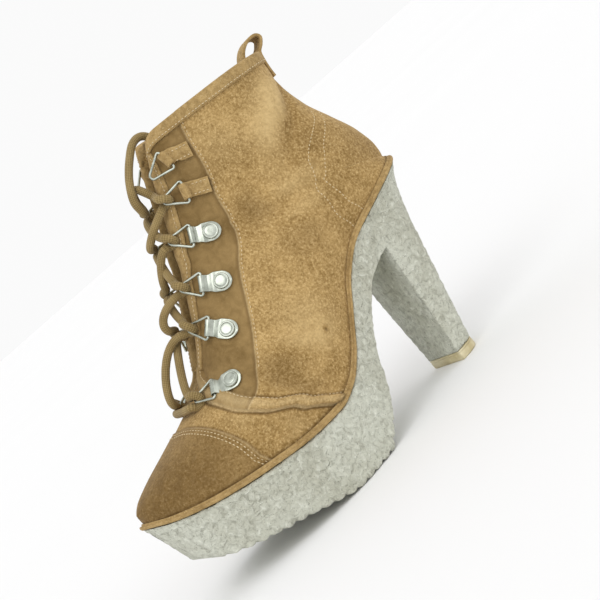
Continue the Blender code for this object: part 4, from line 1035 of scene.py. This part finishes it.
def tab(place, held, name, trim, thread):
    """Leather tab and its two rows of stitches."""
    made = Build()
    flat = np.linspace(-0.0012, 0.8 * TAB_LENGTH, 22)
    strap(made, place, held, TAB_LENGTH, TAB, flat, lambda u: TAB_WIDTH / 2)
    made.fine("tab" + name, trim, "trim")
    sewn = Build()
    along = np.arange(0.0008, 0.72 * TAB_LENGTH, SEAM_PITCH)
    thick = np.array([0.0001, 0.00025, 0.00028, 0.00025, 0.0001])
    for v in (-0.32, 0.32):
        for point in place.at(along, v * TAB_WIDTH, SEAT + TAB + 0.0001):
            line = point + place.u * np.linspace(-0.0006, 0.0006, 5)[:, None]
            sewn.grid(sweep(line, thick, 6), closed_v=True)
    sewn.make("tab_stitches" + name, thread, "trim", merge=0)


def plate(place, held, name, metal):
    """Metal plate and its rivet."""
    made = Build()
    flat = np.concatenate([-PLATE_END * np.cos(np.linspace(0.0, np.pi / 2, 14))[:-1],
                           np.linspace(0.0, RIVET_TO_RING - 0.0024, 16)])
    strap(made, place, held, RIVET_TO_RING, PLATE, flat, plate_width, crown=0.0004)
    made.fine("plate" + name, metal, "metal")
    base = place.at(0.0, 0.0, SEAT + PLATE)
    up = unit(place.at(0.0, 0.0, SEAT + PLATE + LENGTH) - base)
    one = unit(np.cross(up, place.v))
    circle = around(36, one, np.cross(up, one))
    rings = [base + up * (z * RIVET_HEAD + 0.0002) + r * RIVET / 2 * circle for r, z in RIVET_PROFILE]
    Build().solid(np.stack(rings)).fine("rivet" + name, metal, "metal", merge=1e-7)


def fixings(metal, trim, thread):
    """Plates, rivets, leather tabs and wire rings, each over its own solid."""
    outline = ring_outline()
    for side, word in SIDES:
        for number, row in enumerate(TABS + PLATES, start=1):
            name = "_%s_%d" % (word, number)
            place, held = Place(row, side), ring_frame(row, side)
            wire = held[0] + held[1] * outline[:, :1] + held[2] * outline[:, 1:]
            Build().grid(sweep(wire, RING_WIRE / 2, 14, closed=True), closed_u=True, closed_v=True).fine(
                "ring" + name, metal, "metal")
            if row in TABS:
                tab(place, held, name, trim, thread)
            else:
                plate(place, held, name, metal)


def lace_end(row, side, level):
    """Where a strand meets a ring's apex, and the ring's directions ahead and across."""
    middle, ahead, across, _ = ring_frame(row, side)
    reach = apex_reach() + RING_WIRE / 2 + LACE_CLEAR
    return middle + ahead * reach + across * level * LACE_SIDE, ahead, across


def bezier(start, first, second, end, count):
    t = np.linspace(0.0, 1.0, count + 1)[:, None]
    s = 1 - t
    return start * s**3 + first * 3 * s * s * t + second * 3 * s * t * t + end * t**3


def strand(upper, lower, side, row):
    start, ahead, across = lace_end(upper, side, -1)
    end, end_ahead, end_across = lace_end(lower, -side, 1)
    reach, drop = (row.over, row.over_drop) if side == 1 else (row.under, row.under_drop)
    return bezier(start, start + ahead * reach - across * drop,
                  end + end_ahead * reach - end_across * drop, end, 14)


def through_ring(row, side):
    """Turn of the lace round a ring's apex, from its upper strand to its lower one."""
    middle, ahead, across, out = ring_frame(row, side)
    tip = middle + ahead * apex_reach()
    return np.array([tip + ahead * u + across * v + out * h for u, v, h in RING_TURN])


def cord(name, line, material, replaces, sides=24, step=0.0006):
    """Round braided cord along line, with the values that its weave follows."""
    line = even(np.asarray(line), step)
    run = np.arange(len(line))[:, None] * step
    turn = np.arange(sides)[None, :] / sides
    made = Build().solid(sweep(line, LACE / 2, sides), run=run + 0 * turn,
                         cosine=np.cos(2 * np.pi * turn) + 0 * run, sine=np.sin(2 * np.pi * turn) + 0 * run)
    return made.make(name, material, "lace", replaces, merge=0), line


def lacing(braid):
    """One lace through the rings, and its free end in a loose loop."""
    rings = (TABS + PLATES)[1:]
    crossings = list(zip(rings, rings[1:], CROSSINGS))
    line = [through_ring(rings[0], -1)]
    side = -1
    for upper, lower, row in crossings:
        line.append(strand(upper, lower, side, row)[1:-1])
        side = -side
        if lower is not rings[-1]:
            line.append(through_ring(lower, side))
    start, ahead, _ = lace_end(rings[-1], 1, -1)
    end, end_ahead, _ = lace_end(rings[-1], -1, -1)
    bar = bezier(start, start + ahead * BAR_REACH, end + end_ahead * BAR_REACH, end, 12)
    line += [through_ring(rings[-1], -1), bar[::-1][1:-1], through_ring(rings[-1], 1)[::-1]]
    side = 1
    for upper, lower, row in reversed(crossings):
        side = -side
        line += [strand(upper, lower, side, row)[::-1][1:-1], through_ring(upper, side)[::-1]]
    line.append(np.array([LACE_ROUTE[0]]) + (line[-1][-1:] - LACE_ROUTE[0]) * [[0.5], [0.0]])
    path = smooth_points(even(np.concatenate(line), 0.0016), 4)
    parts = ("crossing_1", "crossing_2", "crossing_3_over", "crossing_3_under", "crossing_4_over",
             "crossing_4_under", "bar")
    cord("fine_lace", path, braid, tuple("lace_" + part for part in parts))
    free, line = cord("fine_lace_loop", smooth_points(LACE_ROUTE, 14), braid, ("lace_loop",))
    placed = line + SHIFT
    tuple(placed[0])


def fine_pull_loop(trim):
    """Heel loop: a soft band folded over the collar's back."""
    back = surface(LAST_STATION, 0.0, 1)
    outer = back[0] - QUARTER_STEP - 2 * CLEAR - BINDING - LOOP / 2
    inner = back[0] + WALL + LOOP_EASE + 2 * CLEAR + BINDING + LOOP / 2
    line = smooth_points([(inner + out * (outer - inner), 0.0, back[2] + up * LOOP_RISE)
                          for out, up in PULL_LOOP], 8)
    tangent = unit(np.gradient(line, axis=0))
    normal = np.stack([tangent[:, 2], np.zeros(len(line)), -tangent[:, 0]], -1)
    section = strap_section(LOOP_WIDTH / 2, LOOP, 0.0007)
    Build().solid(line[:, None, :] + section[None, :, 0, None] * np.array([0.0, 1.0, 0.0])
                  + section[None, :, 1, None] * normal[:, None, :]).fine("pull_loop", trim, "trim")


def node(tree, kind, inputs=(), **settings):
    """One node, its settings, and its inputs as (name or number, colour, number or socket)."""
    made = tree.nodes.new(kind)
    for key, value in settings.items():
        setattr(made, key, value)
    for key, value in inputs:
        if isinstance(value, bpy.types.NodeSocket):
            tree.links.new(value, made.inputs[key])
        else:
            made.inputs[key].default_value = (*value, 1.0) if isinstance(value, tuple) else value
    return made


def noise(tree, scale, detail=3.0, rough=0.55, warp=0.0):
    where = node(tree, "ShaderNodeTexCoord").outputs["Object"]
    return node(tree, "ShaderNodeTexNoise", [("Vector", where), ("Scale", scale), ("Detail", detail),
                                             ("Roughness", rough), ("Distortion", warp)]).outputs["Fac"]


def cells(tree, scale):
    where = node(tree, "ShaderNodeTexCoord").outputs["Object"]
    return node(tree, "ShaderNodeTexVoronoi", [("Vector", where), ("Scale", scale)]).outputs["Distance"]


def value_of(tree, name):
    return node(tree, "ShaderNodeAttribute", attribute_name=name).outputs["Fac"]


def calc(operation, a, b):
    return node(a.id_data, "ShaderNodeMath", [(0, a), (1, b)], operation=operation).outputs[0]


def weigh(*parts):
    """Sum of sockets times their weights."""
    total = None
    for socket, weight in parts:
        part = calc("MULTIPLY", socket, weight)
        total = calc("ADD", total, part) if total else part
    return total


def between(value, low, high, to_low=0.0, to_high=1.0):
    inputs = [("Value", value), ("From Min", low), ("From Max", high), ("To Min", to_low),
              ("To Max", to_high)]
    return node(value.id_data, "ShaderNodeMapRange", inputs, clamp=True).outputs[0]


def mix(share, a, b):
    return node(share.id_data, "ShaderNodeMix", [(0, share), (6, a), (7, b)], data_type="RGBA").outputs[2]


def tinted(value, low, high, first, second):
    """First colour where value is low, second where it is high."""
    return mix(between(value, low, high), first, second)


def over(colour, value, low, high, most, tint):
    """Colour with up to most of a tint laid over it as value goes from low to high."""
    return mix(between(value, low, high, 0.0, most), colour, tint)


def new_material(name, roughness, metallic=0.0, specular=0.5, sheen=0.0):
    made = bpy.data.materials.new(name)
    made.use_nodes = True
    for key, value in (("Roughness", roughness), ("Metallic", metallic), ("Specular IOR Level", specular),
                       ("Sheen Weight", sheen), ("Sheen Roughness", 0.45),
                       ("Sheen Tint", (1.0, 0.9, 0.78, 1.0))):
        made.node_tree.nodes["Principled BSDF"].inputs[key].default_value = value
    return made, made.node_tree


def finish(made, colour, height, strength, distance, rough=None):
    """Joins colour, a bump that follows height, and roughness to the material's shader."""
    tree = made.node_tree
    shader = tree.nodes["Principled BSDF"]
    bump = node(tree, "ShaderNodeBump", [("Height", height), ("Strength", strength),
                                         ("Distance", distance)])
    tree.links.new(colour, shader.inputs["Base Color"])
    tree.links.new(bump.outputs["Normal"], shader.inputs["Normal"])
    if rough is not None:
        tree.links.new(rough, shader.inputs["Roughness"])
    return made


def suede_material():
    """Brushed nap, mottled, with light raw edges, stains and rubbed places, painted shade in the folds and
    beside the seams, painted light on the folds' ridges and a painted highlight along the quarter's roll;
    the facing is smoother and darker.
    """
    made, tree = new_material("tan_suede", 0.95, specular=0.12, sheen=0.12)
    broad, mottle = noise(tree, 45.0), noise(tree, 210.0, 4.0, 0.62, 0.5)
    nap, grit = noise(tree, 760.0, 3.0, 0.7), noise(tree, 1900.0, 2.0, 0.7)
    facing, dark = value_of(tree, "facing"), value_of(tree, "dark")
    tone = weigh((broad, 0.33), (mottle, 0.17), (nap, 0.50))
    speck = weigh((nap, 0.5), (grit, 0.5))
    colour = tinted(tone, 0.38, 0.62, (0.235, 0.140, 0.042), (0.520, 0.346, 0.140))
    colour = over(colour, speck, 0.53, 0.68, 0.75, (0.72, 0.53, 0.27))
    colour = over(colour, speck, 0.46, 0.32, 0.55, (0.165, 0.085, 0.020))
    blur = weigh((broad, 0.6), (mottle, 0.4))
    smooth = tinted(blur, 0.36, 0.64, (0.170, 0.105, 0.036), (0.330, 0.218, 0.088))
    smooth = over(smooth, speck, 0.55, 0.75, 0.35, (0.50, 0.36, 0.18))
    colour = mix(facing, colour, smooth)
    # Darker: stains, the darker toe cap, and painted shade in the folds' troughs and beside the seams
    shade = calc("MULTIPLY", between(dark, 0.0, 1.3), between(mottle, 0.25, 0.7, 0.6, 1.0))
    colour = mix(shade, colour, (0.105, 0.058, 0.018))
    # Lighter: rubbed places, and painted light on the folds' ridges
    light = calc("MULTIPLY", between(dark, 0.0, -1.0), between(mottle, 0.3, 0.65, 0.45, 0.85))
    colour = mix(light, colour, (0.66, 0.48, 0.23))
    # Light raw edges, and a painted highlight along the crest of the quarter's roll
    raw_edge_and_highlight = calc("MULTIPLY", value_of(tree, "edge"), between(speck, 0.35, 0.6, 0.25, 0.8))
    colour = mix(raw_edge_and_highlight, colour, (0.66, 0.50, 0.27))
    grain = calc("MULTIPLY", weigh((speck, 0.9), (mottle, 0.45)), between(facing, 0.0, 1.0, 1.0, 0.45))
    return finish(made, colour, grain, 0.8, 0.0007)


def trim_material():
    """Paler, thinner suede of the bindings, tabs and edge strip."""
    made, tree = new_material("khaki_trim", 0.9, specular=0.15, sheen=0.1)
    broad, mottle, nap = noise(tree, 60.0), noise(tree, 420.0, 3.0, 0.6), noise(tree, 1500.0, 2.0, 0.7)
    tone = weigh((broad, 0.4), (mottle, 0.6))
    colour = tinted(tone, 0.36, 0.64, (0.270, 0.172, 0.064), (0.475, 0.325, 0.138))
    colour = over(colour, nap, 0.56, 0.78, 0.6, (0.70, 0.55, 0.31))
    colour = over(colour, nap, 0.42, 0.25, 0.5, (0.13, 0.075, 0.025))
    return finish(made, colour, weigh((nap, 0.5), (mottle, 0.8)), 0.8, 0.0006)


def lining_material(name, low, high):
    """Plain smooth leather inside."""
    made, tree = new_material(name, 0.6, specular=0.35)
    return finish(made, tinted(noise(tree, 50.0), 0.35, 0.65, low, high), cells(tree, 1500.0), 0.3, 0.0002)


def crepe_material():
    """Grey cream crepe rubber: knobs with painted shade in their valleys and painted light on their tops,
    and dark specks.
    """
    made, tree = new_material("grey_crepe", 0.8, specular=0.25)
    knobs, fine = noise(tree, 330.0, 3.0, 0.6, 0.8), noise(tree, 1300.0, 3.0, 0.65)
    broad = noise(tree, 30.0)
    colour = tinted(broad, 0.35, 0.65, (0.520, 0.520, 0.425), (0.630, 0.640, 0.545))
    # Painted shade in the valleys between the knobs
    colour = over(colour, knobs, 0.48, 0.30, 0.60, (0.270, 0.265, 0.205))
    # Painted light on the knobs' tops
    colour = over(colour, knobs, 0.54, 0.70, 0.75, (0.78, 0.79, 0.69))
    colour = over(colour, cells(tree, 560.0), 0.20, 0.08, 0.6, (0.15, 0.145, 0.11))
    return finish(made, colour, weigh((knobs, 1.0), (fine, 0.3)), 1.0, 0.0022)


def lift_material():
    """Hard rubber tip with faint moulded layers."""
    made, tree = new_material("tan_top_lift", 0.5, specular=0.4)
    broad, fine = noise(tree, 120.0), noise(tree, 1300.0, 2.0)
    colour = tinted(broad, 0.35, 0.65, (0.50, 0.42, 0.23), (0.70, 0.63, 0.42))
    return finish(made, colour, fine, 0.25, 0.0002, between(broad, 0.3, 0.7, 0.42, 0.62))


def metal_material():
    """Pale nickel, rubbed and slightly cloudy."""
    made, tree = new_material("pale_nickel", 0.3, metallic=1.0)
    cloud, fine = noise(tree, 260.0), noise(tree, 2600.0, 2.0)
    colour = tinted(cloud, 0.35, 0.65, (0.36, 0.385, 0.33), (0.54, 0.57, 0.50))
    return finish(made, colour, fine, 0.12, 0.0001, between(cloud, 0.3, 0.7, 0.22, 0.42))


def lace_material():
    """Round braid: two sets of strands that cross along the cord."""
    made, tree = new_material("olive_braid", 0.8, specular=0.25, sheen=0.15)
    turn = calc("MULTIPLY", calc("ARCTAN2", value_of(tree, "sine"), value_of(tree, "cosine")), 7.0)
    run = calc("MULTIPLY", value_of(tree, "run"), 3600.0)
    one, two = (calc("SINE", calc(way, run, turn), 0.0) for way in ("ADD", "SUBTRACT"))
    weave = calc("MULTIPLY", one, two)
    tone = calc("ADD", calc("MULTIPLY", weave, 0.5), noise(tree, 90.0, 2.0))
    colour = tinted(tone, 0.0, 1.1, (0.165, 0.112, 0.038), (0.400, 0.290, 0.125))
    return finish(made, colour, weigh((weave, 0.5), (noise(tree, 2200.0, 2.0), 0.4)), 0.7, 0.0004)


def thread_material():
    made, tree = new_material("tan_thread", 0.7, specular=0.3)
    fine = noise(tree, 1800.0, 2.0)
    return finish(made, tinted(fine, 0.35, 0.65, (0.52, 0.40, 0.22), (0.74, 0.61, 0.40)), fine, 0.4, 0.0002)


def studio():
    """Pale floor, even soft light, and the camera at the photograph's angle."""
    bpy.ops.mesh.primitive_plane_add(size=400.0, location=(0.0, 0.0, 0.0))
    floor = bpy.context.object
    floor.name = "floor"
    made, tree = new_material("floor_white", 0.9, specular=0.1)
    colour = mix(noise(tree, 2.0, 1.0), (0.84, 0.84, 0.84), (0.86, 0.86, 0.86))
    tree.links.new(colour, tree.nodes["Principled BSDF"].inputs["Base Color"])
    floor.data.materials.append(made)
    world = bpy.data.worlds.new("studio")
    world.use_nodes = True
    world.node_tree.nodes["Background"].inputs["Color"].default_value = (1.0, 1.0, 1.0, 1.0)
    world.node_tree.nodes["Background"].inputs["Strength"].default_value = 0.96
    bpy.context.scene.world = world
    bpy.context.scene.view_settings.view_transform = "Standard"
    eye = Vector((0.28626, 0.70090, 0.16418))
    right = Vector((-0.65825, 0.36859, -0.65639))
    down = Vector((0.63488, -0.19671, -0.74715))
    ahead = Vector((-0.40451, -0.90854, -0.10453))
    data = bpy.data.cameras.new("photo_view")
    data.lens = 87.0
    data.clip_start = 0.05
    data.clip_end = 500.0
    camera = bpy.data.objects.new("photo_view", data)
    axes = Matrix((right, -down, -ahead)).transposed()
    camera.matrix_world = Matrix.Translation(eye) @ axes.to_4x4()
    bpy.context.scene.collection.objects.link(camera)
    bpy.context.scene.camera = camera
    for name, place, power in (("key", (0.75, 1.0, 1.3), 0.75), ("fill", (-1.1, 0.9, 0.8), 0.25)):
        light = bpy.data.lights.new(name, "SUN")
        light.angle = math.radians(40)
        light.energy = power
        lamp = bpy.data.objects.new(name, light)
        lamp.location = place
        lamp.rotation_euler = Vector(place).to_track_quat("Z", "Y").to_euler()
        bpy.context.scene.collection.objects.link(lamp)


def main():
    studio()
    suede, trim, thread = suede_material(), trim_material(), thread_material()
    lining = lining_material("brown_lining", (0.20, 0.125, 0.055), (0.30, 0.195, 0.095))
    facing = lining_material("brown_facing", (0.13, 0.080, 0.035), (0.22, 0.140, 0.065))
    metal = metal_material()
    lacing(lace_material())
    fine_upper(suede, lining)
    sew(thread)
    bindings(trim)
    binding_stitches(thread)
    fine_tongue(facing)
    fine_insole(lining)
    fine_welt(trim)
    fine_sole(crepe_material())
    fine_top_lift(lift_material())
    fixings(metal, trim, thread)
    fine_pull_loop(trim)


main()
